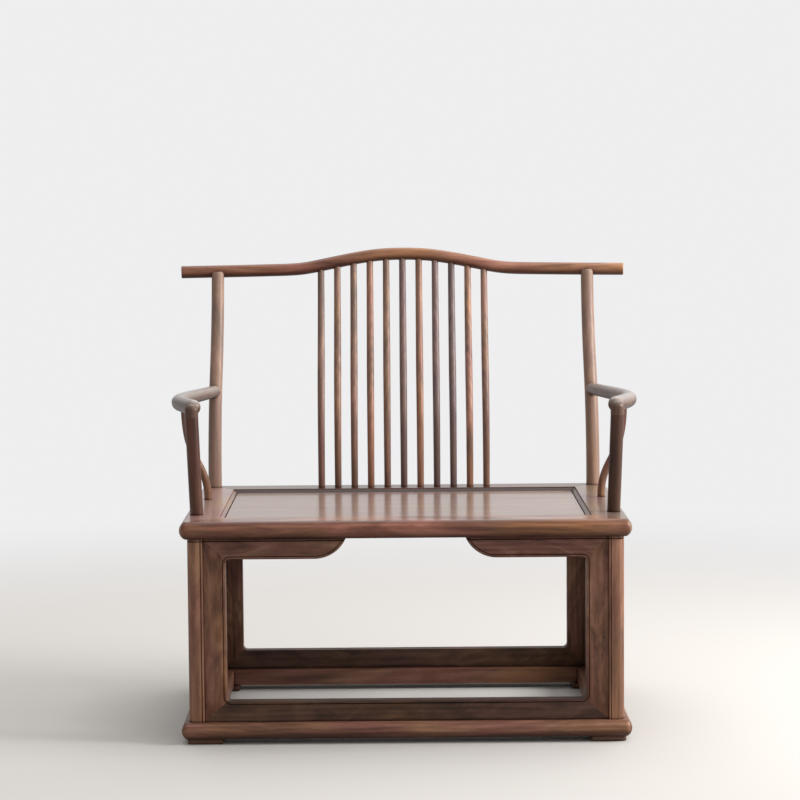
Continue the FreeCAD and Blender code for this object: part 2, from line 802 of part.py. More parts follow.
def spindle_curve(index):
    """Curve of a spindle: a soft S that starts upright and leans back to the top rail."""
    foot_point = spindle_foot(index)
    head = rail_point(foot_point.x)
    lean_shares = ((0.0, 0.0), (0.18, 0.02), (0.38, 0.17), (0.58, 0.50), (0.78, 0.80), (1.0, 1.0))
    points = [Vector(foot_point.x, foot_point.y + (head.y - foot_point.y) * lean_share,
                     foot_point.z + (head.z - foot_point.z) * height_share)
              for height_share, lean_share in lean_shares]
    return spline(points)


def spindle(index, rail_space):
    """Spindle that is fuller in the middle, coped to the top rail, with a peg at each end."""
    curve = spindle_curve(index)
    diameters = [spindle_end_diameter, spindle_middle_diameter, spindle_end_diameter]
    body = rod(curve, diameters, short_rod_rings)
    foot_peg = foot_tenon(spindle_foot(index), spindle_tenon_radius)
    head, direction = end_of(curve)
    head_peg = peg(head, direction, top_rail_diameter / 2 + overrun, spindle_tenon_radius)
    return solid_of(solid_of(body.cut(rail_space)).fuse([foot_peg, head_peg]))


def top_rail_sockets():
    """Holes under the top rail for the rear posts and the spindles."""
    holes = []
    for side in (-1, 1):
        head, direction = end_of(rear_post_curve(side))
        holes.append(socket(head, direction, top_rail_diameter / 2 + overrun, post_tenon_radius))
    for index in range(spindle_count):
        head, direction = end_of(spindle_curve(index))
        holes.append(socket(head, direction, top_rail_diameter / 2 + overrun, spindle_tenon_radius))
    return holes


# Arms

def front_post_foot(side):
    """Middle of a front arm post on the seat frame."""
    return Vector(side * (seat_width / 2 - front_post_foot_inset), front_y + front_post_setback,
                  seat_height)


def front_post_head(side):
    """Middle of the joint between a front arm post and its arm."""
    return Vector(side * (seat_width / 2 - front_post_head_inset), front_y + front_post_setback,
                  seat_height + arm_socket_joint)


def front_post(side):
    """Front arm post, which leans out a little, with a round tenon at each end."""
    foot_point = front_post_foot(side)
    head = front_post_head(side)
    ends = ((foot_point, front_post_foot_diameter), (head, front_post_head_diameter))
    rings = [Part.Wire(Part.makeCircle(diameter / 2, point, up)) for point, diameter in ends]
    body = Part.makeLoft(rings, True, True)
    foot_peg = foot_tenon(foot_point, post_tenon_radius)
    head_peg = peg(head + up * post_tenon_length, up, post_tenon_length + overrun, post_tenon_radius)
    return solid_of(body.fuse([foot_peg, head_peg]))


def arm_curve(side):
    """Curve of an arm: out and forward from the rear post to an elbow, then in to the front."""
    start = arm_rear_point(side)
    elbow_x = seat_width / 2 + arm_elbow_reach
    nose_x = seat_width / 2 - front_post_head_inset - arm_nose_shift
    elbow_y = front_y + arm_elbow_setback
    nose_y = front_y + arm_nose_setback
    rear_run = start.y - elbow_y
    front_run = elbow_y - nose_y
    reach = elbow_x - abs(start.x)
    drop = elbow_x - nose_x
    rear_shares = ((0.0, 0.0), (0.22, 0.26), (0.50, 0.61), (0.80, 0.92), (1.0, 1.0))
    front_shares = ((0.30, 0.12), (0.65, 0.52), (1.0, 1.0))
    points = []
    for run_share, out_share in rear_shares:
        points.append(Vector(side * (abs(start.x) + reach * out_share),
                             start.y - rear_run * run_share, start.z))
    for run_share, in_share in front_shares:
        points.append(Vector(side * (elbow_x - drop * in_share), elbow_y - front_run * run_share, start.z))
    whole_run = start.y - nose_y
    for point in points:
        point.z += arm_rise * (start.y - point.y) / whole_run
    return spline(points)


def arm_rear_point(side):
    """Point on the curve of the rear post where the arm's middle line meets it."""
    curve = rear_post_curve(side)
    return curve.value(parameter_where(curve, lambda point: point.z < seat_height + arm_height))


def arm_rod(side, extra=0.0):
    """Bent part of an arm with a round nose."""
    curve = arm_curve(side)
    middle_diameter = (arm_rear_diameter + arm_front_diameter) / 2
    diameters = [arm_rear_diameter, middle_diameter, arm_front_diameter, arm_front_diameter]
    body = rod(curve, diameters, rod_rings, extra)
    nose, _ = end_of(curve)
    return solid_of(body.fuse(Part.makeSphere(arm_front_diameter / 2 + arm_end_swell + extra, nose)))


def arm_socket_piece(side):
    """Upright domed end of an arm, which stands on the front post."""
    joint = front_post_head(side)
    dome_centre = arm_dome_height - arm_socket_joint - arm_socket_radius
    corner_a = Vector(arm_socket_radius, 0, 0)
    corner_b = Vector(arm_socket_radius, 0, dome_centre)
    diagonal = math.sqrt(0.5)
    middle = Vector(arm_socket_radius * diagonal, 0, dome_centre + arm_socket_radius * diagonal)
    crown = Vector(0, 0, dome_centre + arm_socket_radius)
    edges = [Part.makeLine(Vector(0, 0, 0), corner_a), Part.makeLine(corner_a, corner_b),
             Part.Arc(corner_b, middle, crown).toShape(), Part.makeLine(crown, Vector(0, 0, 0))]
    piece = Part.Face(Part.Wire(edges)).revolve(Vector(0, 0, 0), up, 360)
    piece.translate(joint)
    return piece


def arm_tenon(side, clearance=0.0):
    """Round tenon at the arm's rear end, inside the rear post."""
    curve = arm_curve(side)
    start = curve.value(curve.FirstParameter)
    direction = curve.tangent(curve.FirstParameter)[0]
    length = rear_post_foot_diameter / 2 + overrun
    gap = tenon_end_gap if clearance else 0
    return Part.makeCylinder(side_stick_tenon_radius + clearance, length + gap,
                             start - direction * gap, direction)


def rear_post_space(side):
    """Room that the arm leaves for the rear post."""
    diameters = [rear_post_foot_diameter, rear_post_head_diameter]
    return rod(rear_post_curve(side), diameters, rod_rings, seat_gap)


def below_joint(side):
    """Block under the joint plane of the domed end, taken off the arm there."""
    joint = front_post_head(side)
    reach = arm_front_diameter
    return box(joint - Vector(reach, reach, reach), joint + Vector(reach, reach, 0))


def arm(side, stick_socket):
    """Arm: a bent rod with a domed upright end, coped to the rear post."""
    body = arm_rod(side).cut(rear_post_space(side))
    body = solid_of(body).cut(below_joint(side))
    body = solid_of(body).fuse([arm_socket_piece(side), arm_tenon(side)])
    head = front_post_head(side) + up * post_tenon_length
    return solid_of(body.cut([socket(head, up, post_tenon_length, post_tenon_radius), stick_socket]))


def side_stick_foot(side):
    """Middle of a side stick on the seat frame."""
    return Vector(side * (seat_width / 2 - side_stick_foot_inset), front_y + side_stick_foot_setback,
                  seat_height)


def side_stick_curve(side):
    """Curve of a side stick: upright at the seat, then a sweep outwards to under the arm."""
    foot_point = side_stick_foot(side)
    rise = arm_height + arm_rise / 2
    head = Vector(side * (seat_width / 2 - side_stick_head_inset), front_y + side_stick_head_setback,
                  seat_height + rise)
    height_shares = (0.0, 0.12, 0.28, 0.42, 0.58, 0.74, 1.0)
    sweep_shares = (0.0, 0.03, 0.24, 0.56, 0.84, 0.97, 1.0)
    lean_shares = (0.0, 0.04, 0.20, 0.42, 0.66, 0.86, 1.0)
    points = [Vector(foot_point.x + (head.x - foot_point.x) * out_share,
                     foot_point.y + (head.y - foot_point.y) * lean_share,
                     foot_point.z + rise * height_share)
              for height_share, out_share, lean_share in zip(height_shares, sweep_shares, lean_shares)]
    return spline(points)


def side_stick_socket(side):
    """Hole under the arm for the side stick."""
    head, _ = end_of(side_stick_curve(side))
    return socket(head, up, arm_front_diameter / 2 + overrun, side_stick_tenon_radius)


def side_stick_space(side):
    """Room that a side stick leaves for the arm above it."""
    curve = arm_curve(side)
    head, _ = end_of(side_stick_curve(side))
    parameter = parameter_where(curve, lambda point: point.y > head.y)
    along = curve.tangent(parameter)[0]
    start = curve.value(parameter) - along * side_stick_diameter
    return Part.makeCylinder(arm_front_diameter / 2 + seat_gap, 2 * side_stick_diameter, start, along)


def side_stick(side):
    """Side stick, coped to the arm, with a peg at each end."""
    curve = side_stick_curve(side)
    head, _ = end_of(curve)
    body = rod(curve, [side_stick_diameter, side_stick_diameter], rod_rings)
    body = solid_of(body.cut(side_stick_space(side)))
    foot_peg = foot_tenon(side_stick_foot(side), side_stick_tenon_radius)
    head_peg = peg(head, up, arm_front_diameter / 2 + overrun, side_stick_tenon_radius)
    return solid_of(body.fuse([foot_peg, head_peg]))


# The whole chair

def build():
    """Every piece of the chair by its name."""
    parts = {}
    for name, rail in seat_frame().items():
        parts["seat_rail_" + name] = rail
    parts["seat_panel"] = seat_panel()
    for x, name in zip(batten_places(), ("left", "right")):
        parts["seat_batten_" + name] = seat_batten(x)
    for name, rail in floor_frame().items():
        parts["floor_rail_" + name] = rail
    for side, end, place in base_post_places():
        corner = ("front" if end < 0 else "rear") + "_" + ("left" if side < 0 else "right")
        parts["base_post_" + corner] = base_post(side, end, place)
        parts["foot_" + corner] = foot(side, end)
    for turn, name in enumerate(("front", "right", "rear", "left")):
        pieces = board_frame(board_spans()[turn], seat_ends()[turn])
        for piece, shape in pieces.items():
            parts[name + "_" + piece] = solid_of(quarter_turns(shape, turn).cut(shade_groove()))
    rail_space = top_rail_rod(seat_gap)
    parts["top_rail"] = top_rail(top_rail_sockets())
    for index in range(spindle_count):
        parts["spindle_%02d" % (index + 1)] = spindle(index, rail_space)
    for side, name in ((-1, "left"), (1, "right")):
        parts["rear_post_" + name] = rear_post(side, rail_space, arm_tenon(side, fit_clearance))
        parts["arm_" + name] = arm(side, side_stick_socket(side))
        parts["front_post_" + name] = front_post(side)
        parts["side_stick_" + name] = side_stick(side)
    return parts


def main():
    os.makedirs("parts", exist_ok=True)
    for name, shape in build().items():
        shape.exportStep("parts/" + name + ".step")
        print(name, len(shape.Solids), shape.isValid(), round(shape.Volume))


main()
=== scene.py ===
import math

import bpy
import numpy as np
from bpy.props import FloatProperty, FloatVectorProperty, IntProperty, PointerProperty
from mathutils import Matrix, Vector


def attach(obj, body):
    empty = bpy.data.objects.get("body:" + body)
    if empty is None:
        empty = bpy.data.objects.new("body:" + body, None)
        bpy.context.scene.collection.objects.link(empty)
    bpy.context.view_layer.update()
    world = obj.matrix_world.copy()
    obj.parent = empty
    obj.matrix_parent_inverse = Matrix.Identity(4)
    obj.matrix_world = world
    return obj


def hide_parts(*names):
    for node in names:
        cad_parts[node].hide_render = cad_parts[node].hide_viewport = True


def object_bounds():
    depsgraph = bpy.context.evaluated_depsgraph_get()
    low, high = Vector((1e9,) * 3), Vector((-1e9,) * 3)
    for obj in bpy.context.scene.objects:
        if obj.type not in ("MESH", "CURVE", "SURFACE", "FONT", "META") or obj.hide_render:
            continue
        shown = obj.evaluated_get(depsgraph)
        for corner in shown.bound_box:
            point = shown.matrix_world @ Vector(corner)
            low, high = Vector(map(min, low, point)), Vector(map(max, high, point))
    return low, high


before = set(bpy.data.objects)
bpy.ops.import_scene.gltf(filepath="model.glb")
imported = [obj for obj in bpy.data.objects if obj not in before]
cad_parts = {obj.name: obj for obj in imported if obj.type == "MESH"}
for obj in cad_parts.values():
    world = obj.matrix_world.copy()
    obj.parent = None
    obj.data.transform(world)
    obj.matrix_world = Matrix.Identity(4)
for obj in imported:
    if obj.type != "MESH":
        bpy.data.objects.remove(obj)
cad_box = [list(corner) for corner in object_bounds()]

bl_info = {
    "name": "Official hat chair",
    "version": (1, 0, 0),
    "blender": (4, 5, 0),
    "location": "View3D > Sidebar > Chair",
    "description": "Makes and dresses a wide walnut armchair with a humped top rail and an open box base",
    "category": "Add Mesh",
}

SIDES = ((-1, "left"), (1, "right"))
ENDS = ((-1, "front"), (1, "rear"))
FRAME_SIDES = ("front", "right", "rear", "left")
FRAME_GRAINS = "XYXY"

# Sizes that the pieces share with the solids, in metres
SEAT_WIDTH = 0.860
SEAT_DEPTH = 0.600
SEAT_TOP = 0.428
NOSING_HEIGHT = 0.0335
NOSING_CORNER = 0.014
NOSING_INSET = 0.010
SEAT_RAIL_FLAT = 0.0715
SEAT_RAIL_WIDTH = 0.0795
PANEL_TOP = 0.421
PANEL_THICKNESS = 0.014
FLOOR_RAIL_LOW = 0.0105
FLOOR_RAIL_HEIGHT = 0.031
FLOOR_RAIL_WIDTH = 0.067
FLOOR_CORNER = 0.013
FLOOR_INSET = 0.008
FOOT_WIDTH = 0.069
FOOT_SETBACK = 0.0107
FOOT_CORNER = 0.008
FOOT_CHAMFER = 0.0015

REAR_POST_INSET = 0.031
REAR_POST_RAKE = 0.067
REAR_POST_HEAD_INSET = 0.038
REAR_POST_FOOT_RADIUS = 0.0142
REAR_POST_HEAD_RADIUS = 0.0132
TOP_RAIL_OVERHANG = 0.0774
TOP_RAIL_RADIUS = 0.013
TOP_RAIL_HEIGHT = 0.452
TOP_RAIL_HUMP = 0.035
TOP_RAIL_BOW = 0.024
TOP_RAIL_EDGE = 0.002
SPINDLE_COUNT = 11
SPINDLE_PITCH = 0.0347
SPINDLE_FOOT_SETBACK = 0.047
SPINDLE_END_RADIUS = 0.007
SPINDLE_MIDDLE_RADIUS = 0.0078

ARM_HEIGHT = 0.202
ARM_RISE = 0.006
ARM_REAR_RADIUS = 0.0125
ARM_FRONT_RADIUS = 0.015
ARM_NOSE_RADIUS = 0.01515
ARM_ELBOW_REACH = 0.018
ARM_ELBOW_SETBACK = 0.285
ARM_NOSE_SETBACK = 0.127
ARM_NOSE_SHIFT = 0.002
SOCKET_RADIUS = 0.0132
SOCKET_JOINT = 0.1885
DOME_HEIGHT = 0.216
FRONT_POST_SETBACK = 0.118
FRONT_POST_FOOT_INSET = 0.0262
FRONT_POST_HEAD_INSET = 0.0189
FRONT_POST_FOOT_RADIUS = 0.0127
FRONT_POST_HEAD_RADIUS = 0.013
STICK_RADIUS = 0.0077
STICK_FOOT_SETBACK = 0.357
STICK_FOOT_INSET = 0.031
STICK_HEAD_SETBACK = 0.336
STICK_HEAD_INSET = -0.0115

FRONT_Y = cad_box[0][1]
REAR_Y = FRONT_Y + SEAT_DEPTH
MIDDLE_Y = FRONT_Y + SEAT_DEPTH / 2
UP = np.array([0.0, 0.0, 1.0])
RIGHT = np.array([1.0, 0.0, 0.0])

# Darkenings along an axis: where each begins and is full, and its strength. The top rail's, the rear
# posts' and the spindles' are painted shade, the top rail darker to the left and the rods darker
# towards the seat; the stiles' make them darker towards the bottom and the top
TOP_RAIL_SHADE = ("X", 0.40, -0.45, 0.85)
REAR_POST_SHADE = ("Z", SEAT_TOP + 0.30, SEAT_TOP, 0.32)
SPINDLE_SHADE = ("Z", SEAT_TOP + 0.36, SEAT_TOP, 1.0)
STILE_DARKENINGS = (("Z", 0.15, 0.06, 1.0), ("Z", 0.31, 0.37, 0.55))

# How far in from each end of the front seat rail it begins to be darker
END_DARKENING_REACH = 0.025

# How finely the surfaces are divided
TOP_RAIL_RINGS = 161
BENT_ROD_RINGS = 97
SIDE_STICK_RINGS = 65
SPINDLE_RINGS = 49
FRONT_POST_RINGS = 25
PATH_SAMPLES = 401
NOSING_POINTS = 25
MITRE_STEPS = 9
CORNER_POINTS = 8
DOME_STEPS = 16
EDGE_STEPS = 6

# What is left of the radius at the tip of a nose or a dome
TIP_SHARE = 0.001


# What a user would change

COLOUR = {"subtype": "COLOR", "size": 3, "min": 0, "max": 1}
FACTOR = {"subtype": "FACTOR", "min": 0, "max": 1}


class ChairWood(bpy.types.PropertyGroup):
    """Colours and finish of the lacquered walnut."""

    dark: FloatVectorProperty(
        name="Dark streaks", description="Late wood and the pores around it",
        default=(0.060, 0.027, 0.017), **COLOUR)
    middle: FloatVectorProperty(
        name="Middle tone", description="Ground colour of the heartwood",
        default=(0.190, 0.090, 0.053), **COLOUR)
    light: FloatVectorProperty(
        name="Light streaks", description="Early wood", default=(0.345, 0.188, 0.118), **COLOUR)
    # A painted sheen: the pale veil that stands for reflected light on the rods, the panel and the side
    # rails
    painted_sheen_tone: FloatVectorProperty(
        name="Bleached tone", description="Colour towards which the pale rods go",
        default=(0.42, 0.335, 0.285), **COLOUR)
    # A painted sheen on the faces that look up, mostly on the arms
    painted_top_sheen: FloatVectorProperty(
        name="Worn tone", description="Colour of the arms where hands rest",
        default=(0.36, 0.325, 0.305), **COLOUR)
    roughness: FloatProperty(
        name="Roughness", description="How matt the wood is under its lacquer", default=0.42, **FACTOR)
    gloss: FloatProperty(
        name="Gloss", description="Strength of the plain shine of the wood", default=0.28, **FACTOR)
    lacquer_roughness: FloatProperty(
        name="Lacquer roughness", description="How matt the lacquer is", default=0.20, **FACTOR)
    lacquer: FloatProperty(
        name="Lacquer", description="How much glossy lacquer lies on all pieces",
        default=0.06, **FACTOR)
    polish: FloatProperty(
        name="Polish", description="How much more lacquer lies on the level faces of the seat",
        default=0.94, **FACTOR)
    # Painted shade in grooves, at joints and under edges, out to this reach
    crevice_shade_reach: FloatProperty(
        name="Crevice reach", description="How far from a joint or a groove the wood is darker",
        unit="LENGTH", min=0.0005, max=0.02, default=0.006)
    wear: FloatProperty(
        name="Worn edge", description="How far from an edge the wood is rubbed lighter",
        unit="LENGTH", min=0.0001, max=0.01, default=0.0015)
    ring_width: FloatProperty(
        name="Ring width", description="Distance from one growth ring to the next",
        unit="LENGTH", min=0.001, max=0.05, default=0.009)


class ChairJoints(bpy.types.PropertyGroup):
    """Fine lines and edges of the joinery."""

    mitre_gap: FloatProperty(
        name="Mitre gap", description="How far each rail stops short of its mitre",
        unit="LENGTH", min=0, max=0.002, default=0.00015)
    line_width: FloatProperty(
        name="Line width", description="Width of the groove along the inner edge of the seat rails",
        unit="LENGTH", min=0.0005, max=0.004, default=0.0022)
    line_depth: FloatProperty(
        name="Line depth", description="Depth of the groove along the inner edge of the seat rails",
        unit="LENGTH", min=0.0005, max=0.004, default=0.0026)
    panel_gap: FloatProperty(
        name="Panel gap", description="Gap between the seat panel and its frame",
        unit="LENGTH", min=0, max=0.004, default=0.0014)
    panel_ease: FloatProperty(
        name="Panel edge", description="Radius of the panel's eased edge",
        unit="LENGTH", min=0.0001, max=0.004, default=0.0010)
    round_sides: IntProperty(
        name="Round sides", description="Sides of the round rods", min=12, max=128, default=48)


class ChairStage(bpy.types.PropertyGroup):
    """Floor, backdrop and lamps."""

    floor_colour: FloatVectorProperty(
        name="Floor", description="Colour of the plain floor", default=(0.56, 0.545, 0.53), **COLOUR)
    backdrop_colour: FloatVectorProperty(
        name="Backdrop", description="Colour behind the chair", default=(0.86, 0.858, 0.868), **COLOUR)
    fade_start: FloatProperty(
        name="Fade start", description="Where the floor begins to turn into the backdrop",
        unit="LENGTH", min=0, max=20, default=0.9)
    fade_end: FloatProperty(
        name="Fade end", description="Where the floor is all backdrop",
        unit="LENGTH", min=0, max=40, default=3.2)
    room_light: FloatProperty(
        name="Room light", description="Strength of the light from all sides", min=0, max=5, default=1.0)
    floor_bounce: FloatProperty(
        name="Floor bounce", description="How much of the floor's colour it throws back on the chair",
        default=0.45, **FACTOR)
    window_power: FloatProperty(
        name="Window lamp", description="Power of the large lamp on the right", unit="POWER",
        min=0, max=2000, default=115)
    ceiling_power: FloatProperty(
        name="Ceiling lamp", description="Power of the large lamp above", unit="POWER",
        min=0, max=2000, default=45)


# Shapes

def cubic_through(points, count):
    """Smooth path through a few points, with its directions.

    Between each two points runs a cubic in the straight distance travelled. The slopes at the
    points are those that make the bending continuous, and each end slope is that of the parabola
    through the three end points.
    """
    points = np.array(points, float)
    runs = np.linalg.norm(np.diff(points, axis=0), axis=1)
    times = np.concatenate([[0], np.cumsum(runs)])
    steps = np.diff(points, axis=0) / runs[:, None]
    system = np.eye(len(points))
    slopes = np.zeros_like(points)
    slopes[0] = steps[0] - (steps[1] - steps[0]) * runs[0] / (runs[0] + runs[1])
    slopes[-1] = steps[-1] + (steps[-1] - steps[-2]) * runs[-1] / (runs[-1] + runs[-2])
    for index in range(1, len(points) - 1):
        before, after = runs[index - 1], runs[index]
        system[index, index - 1:index + 2] = after, 2 * (before + after), before
        slopes[index] = 3 * (after * steps[index - 1] + before * steps[index])
    slopes = np.linalg.solve(system, slopes)
    moments = np.linspace(0, times[-1], count)
    index = np.clip(np.searchsorted(times, moments, side="right") - 1, 0, len(runs) - 1)
    run = runs[index][:, None]
    share = (moments - times[index])[:, None] / run
    start, finish = points[index], points[index + 1]
    lean, arrival = slopes[index] * run, slopes[index + 1] * run
    places = (start * (2 * share ** 3 - 3 * share ** 2 + 1) + lean * (share ** 3 - 2 * share ** 2 + share)
              + finish * (3 * share ** 2 - 2 * share ** 3) + arrival * (share ** 3 - share ** 2))
    ways = (start * (6 * share ** 2 - 6 * share) + lean * (3 * share ** 2 - 4 * share + 1)
            + finish * (6 * share - 6 * share ** 2) + arrival * (3 * share ** 2 - 2 * share))
    return places, ways / np.linalg.norm(ways, axis=1)[:, None]


def circles(places, ways, radii, side):
    """Rings of a round rod: at each place a circle square to the path, begun on the asked side.

    A ring's point is its place, and the radius times the cosine of its turn towards the asked side
    and the sine of it square to that.
    """
    sides = bpy.context.scene.chair_joints.round_sides
    across = side - ways * (ways @ side)[:, None]
    across /= np.linalg.norm(across, axis=1)[:, None]
    other = np.cross(ways, across)
    turn = np.linspace(0, math.tau, sides, endpoint=False)[None, :, None]
    spokes = np.cos(turn) * across[:, None] + np.sin(turn) * other[:, None]
    return places[:, None] + radii[:, None, None] * spokes


def closed_skin(rings):
    """Skin of quads over rings that go anticlockwise about their travel.

    Each end is closed by triangles to the middle of its ring.
    """
    count, sides = rings.shape[:2]
    grid = np.arange(count * sides).reshape(count, sides)
    following = np.roll(grid, -1, axis=1)
    quads = np.stack([grid[:-1], following[:-1], following[1:], grid[1:]], -1).reshape(-1, 4)
    first = np.stack([following[0], grid[0], np.full(sides, grid.size)], -1)
    last = np.stack([grid[-1], following[-1], np.full(sides, grid.size + 1)], -1)
    points = np.concatenate([rings.reshape(-1, 3), rings[:1].mean(1), rings[-1:].mean(1)])
    return points, quads.tolist() + first.tolist() + last.tolist()


def make_piece(node, skins, materials, crease=35):
    """One object that stands for a CAD node, of closed skins with a material each."""
    points, faces, paints = [], [], []
    for index, (skin_points, skin_faces) in enumerate(skins):
        start = sum(len(part) for part in points)
        points.append(skin_points)
        faces += [[corner + start for corner in face] for face in skin_faces]
        paints += [index] * len(skin_faces)
    mesh = bpy.data.meshes.new(node + "_look")
    mesh.from_pydata(np.concatenate(points).tolist(), [], faces)
    mesh.polygons.foreach_set("use_smooth", np.ones(len(mesh.polygons), bool))
    mesh.set_sharp_from_angle(angle=math.radians(crease))
    for material in materials:
        mesh.materials.append(material)
    mesh.polygons.foreach_set("material_index", paints)
    piece = bpy.data.objects.new(node + "_look", mesh)
    bpy.context.scene.collection.objects.link(piece)
    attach(piece, "root")
    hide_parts(node)


def rod(points, radii, count, side):
    """Rings of a bent rod along a smooth path; its radii follow one another at even steps."""
    places, ways = cubic_through(points, count)
    share = np.linspace(0, 1, count)
    return circles(places, ways, np.interp(share, np.linspace(0, 1, len(radii)), radii), side)


def rounded_end(place, way, radius, edge, side, steps=EDGE_STEPS):
    """Rings that go on past the end of a rod and round its edge over to the flat.

    The edge is a quarter circle: each ring goes on by the sine of its turn, and its radius loses
    one less the cosine.
    """
    turn = np.linspace(0, math.pi / 2, steps + 1)[1:]
    places = place + way * (edge * np.sin(turn))[:, None]
    ways = np.repeat(way[None], steps, axis=0)
    return circles(places, ways, radius - edge * (1 - np.cos(turn)), side)


def mitred_rail(profile, corner_radius, turn):
    """Rings of one rail of a mitred frame; turn counts the front, right, rear and left one.

    The profile is a list of distances in from the outer face and heights. It is carried along the
    rail, and each of its points stops at the mitre, so its run is shorter by its distance in.
    Points nearer the face than the corner's radius go round the corner's arc up to the mitre.
    """
    inward, height = np.array(profile, float).T
    half_width, half_depth = SEAT_WIDTH / 2, SEAT_DEPTH / 2
    half = (half_width, half_depth)[turn % 2] - bpy.context.scene.chair_joints.mitre_gap
    share = np.linspace(0, 1, MITRE_STEPS)[:, None]
    angle = share * math.pi / 4
    reach = np.maximum(corner_radius - inward, 0)
    near = inward < corner_radius
    along = np.where(near, half - corner_radius + reach * np.sin(angle),
                     half - inward - corner_radius * (1 - share))
    inset = np.where(near, corner_radius - reach * np.cos(angle), inward + 0 * share)
    along = np.concatenate([-along[::-1], along])
    inset = np.concatenate([inset[::-1], inset])
    height = height + 0 * along
    across, forward = ((along, inset - half_depth), (half_width - inset, along),
                       (-along, half_depth - inset), (inset - half_width, -along))[turn]
    return np.stack([across, forward + MIDDLE_Y, height], -1)


def nosing(top, height, inset):
    """Outer edge of a rail: a flat arc from one crisp arris, out and round to the other.

    The radius is the squares of half the height and of the inset, added and divided by twice the
    inset, so the arc passes through both arrises and touches the outer face between them.
    """
    half = height / 2
    radius = (half ** 2 + inset ** 2) / (2 * inset)
    reach = math.asin(half / radius)
    turn = np.linspace(reach, -reach, NOSING_POINTS)
    places = np.stack([radius * (1 - np.cos(turn)), top - half + radius * np.sin(turn)], -1)
    return places.tolist()


def slab(middle, half_x, half_y, corner, layers):
    """Rings of an upright block with rounded corners; each layer is an inset and a height.

    A ring is a quarter circle about each corner's centre. A layer's inset comes off the sides and
    off the corner's radius alike.
    """
    quarter = np.repeat(np.arange(4), CORNER_POINTS)
    diagonal = (quarter + 0.5) * math.pi / 2
    signs = np.sign(np.stack([np.cos(diagonal), np.sin(diagonal)], -1))
    turn = np.tile(np.linspace(0, math.pi / 2, CORNER_POINTS), 4) + quarter * math.pi / 2
    spokes = np.stack([np.cos(turn), np.sin(turn)], -1)
    rings = []
    for inset, height in layers:
        radius = max(corner - inset, 0)
        core = np.array([half_x, half_y]) - inset - radius
        outline = middle + signs * core + spokes * radius
        rings.append(np.concatenate([outline, np.full((len(turn), 1), height)], axis=1))
    return np.stack(rings)


# Materials

# Colours that multiply the wood's own; the underside, brow and crevice tints are painted shade,
# and the darkening tint is painted shade on most pieces
GOLD_TINT = (1.10, 1.02, 0.80)
PLUM_TINT = (0.98, 0.82, 0.98)
DARKENING_TINT = (0.60, 0.50, 0.45)
UNDERSIDE_SHADE_TINT = (0.30, 0.24, 0.22)
BROW_SHADE_TINT = (0.50, 0.42, 0.40)
PORE_TINT = (0.50, 0.44, 0.42)
RUBBED_TINT = (1.30, 1.28, 1.25)
CREVICE_SHADE_TINT = (0.08, 0.055, 0.045)

# Values of a noise, of a face's upward look or of its openness, between which a finish comes in;
# the top sheen span brings in a painted sheen, and the underside, brow and free spans painted shade
GOLD_SPAN = (0.50, 0.34)
PLUM_SPAN = (0.46, 0.64)
PORE_SPAN = (0.60, 0.72)
TOP_SHEEN_SPAN = (-0.1, 0.8)
UNDERSIDE_SHADE_SPAN = (0.0, -0.75)
BROW_SHADE_SPAN = (0.58, 0.80)
BROW_SHADE_TOP_SPAN = (0.99, 0.93)
POLISH_SPAN = (0.55, 0.95)
RUBBED_SPAN = (0.9, 0.4)
FREE_SPAN = (0.35, 0.92)

# What each pattern adds to the figure, and where on it the dark, middle and light tones stand
RING_SHARE = 0.07
BROAD_SHARE = 0.66
FINE_SHARE = 0.27
TONE_PLACES = (0.30, 0.49, 0.70)

# Distance from ring to ring of the wave texture at a scale of one
WAVE_PITCH = math.tau / 20

# How much farther apart the pieces lie along the log than across it
LOG_STRETCH = 3

# How strongly the pores darken, and what the fine streaks are in the relief beside them
PORE_STRENGTH = 0.6
FINE_RELIEF = 0.5

# How much the wood's roughness changes with the figure and at a rubbed edge
FIGURE_SHEEN = 0.14
RUBBED_DULLNESS = 0.08


def feed(tree, socket, value):
    """Link a socket to another one, or set it to a plain value."""
    if isinstance(value, bpy.types.NodeSocket):
        tree.links.new(value, socket)
    else:
        socket.default_value = value


def math_node(tree, operation, first, second):
    """Two values, each a number or a socket, joined by one operation."""
    node = tree.nodes.new("ShaderNodeMath")
    node.operation = operation
    feed(tree, node.inputs[0], first)
    feed(tree, node.inputs[1], second)
    return node.outputs["Value"]


def product(tree, first, second):
    """Product of two values."""
    return math_node(tree, "MULTIPLY", first, second)


def total(tree, first, second):
    """Sum of two values."""
    return math_node(tree, "ADD", first, second)


def mixed(tree, first, second, factor, blend="MIX"):
    """First colour turned into the second, or blended with it, as far as a factor says."""
    mix = tree.nodes.new("ShaderNodeMix")
    mix.data_type = "RGBA"
    mix.blend_type = blend
    feed(tree, mix.inputs["Factor"], factor)
    feed(tree, mix.inputs["A"], first)
    feed(tree, mix.inputs["B"], (*second, 1))
    return mix.outputs["Result"]


def tinted(tree, colour, tint, factor):
    """Colour multiplied by a tint as far as a factor says."""
    return mixed(tree, colour, tint, factor, "MULTIPLY")


def span(tree, value, low, high):
    """Value as a share of the way from low to high, kept between none and one."""
    node = tree.nodes.new("ShaderNodeMapRange")
    feed(tree, node.inputs["From Min"], low)
    feed(tree, node.inputs["From Max"], high)
    feed(tree, node.inputs["Value"], value)
    return node.outputs["Result"]


def openness(tree, reach, inside):
    """How free a place is within a reach: in a groove or by a joint, or inside, near an edge."""
    node = tree.nodes.new("ShaderNodeAmbientOcclusion")
    node.samples = 6
    node.inside = inside
    feed(tree, node.inputs["Distance"], reach)
    return node.outputs["AO"]


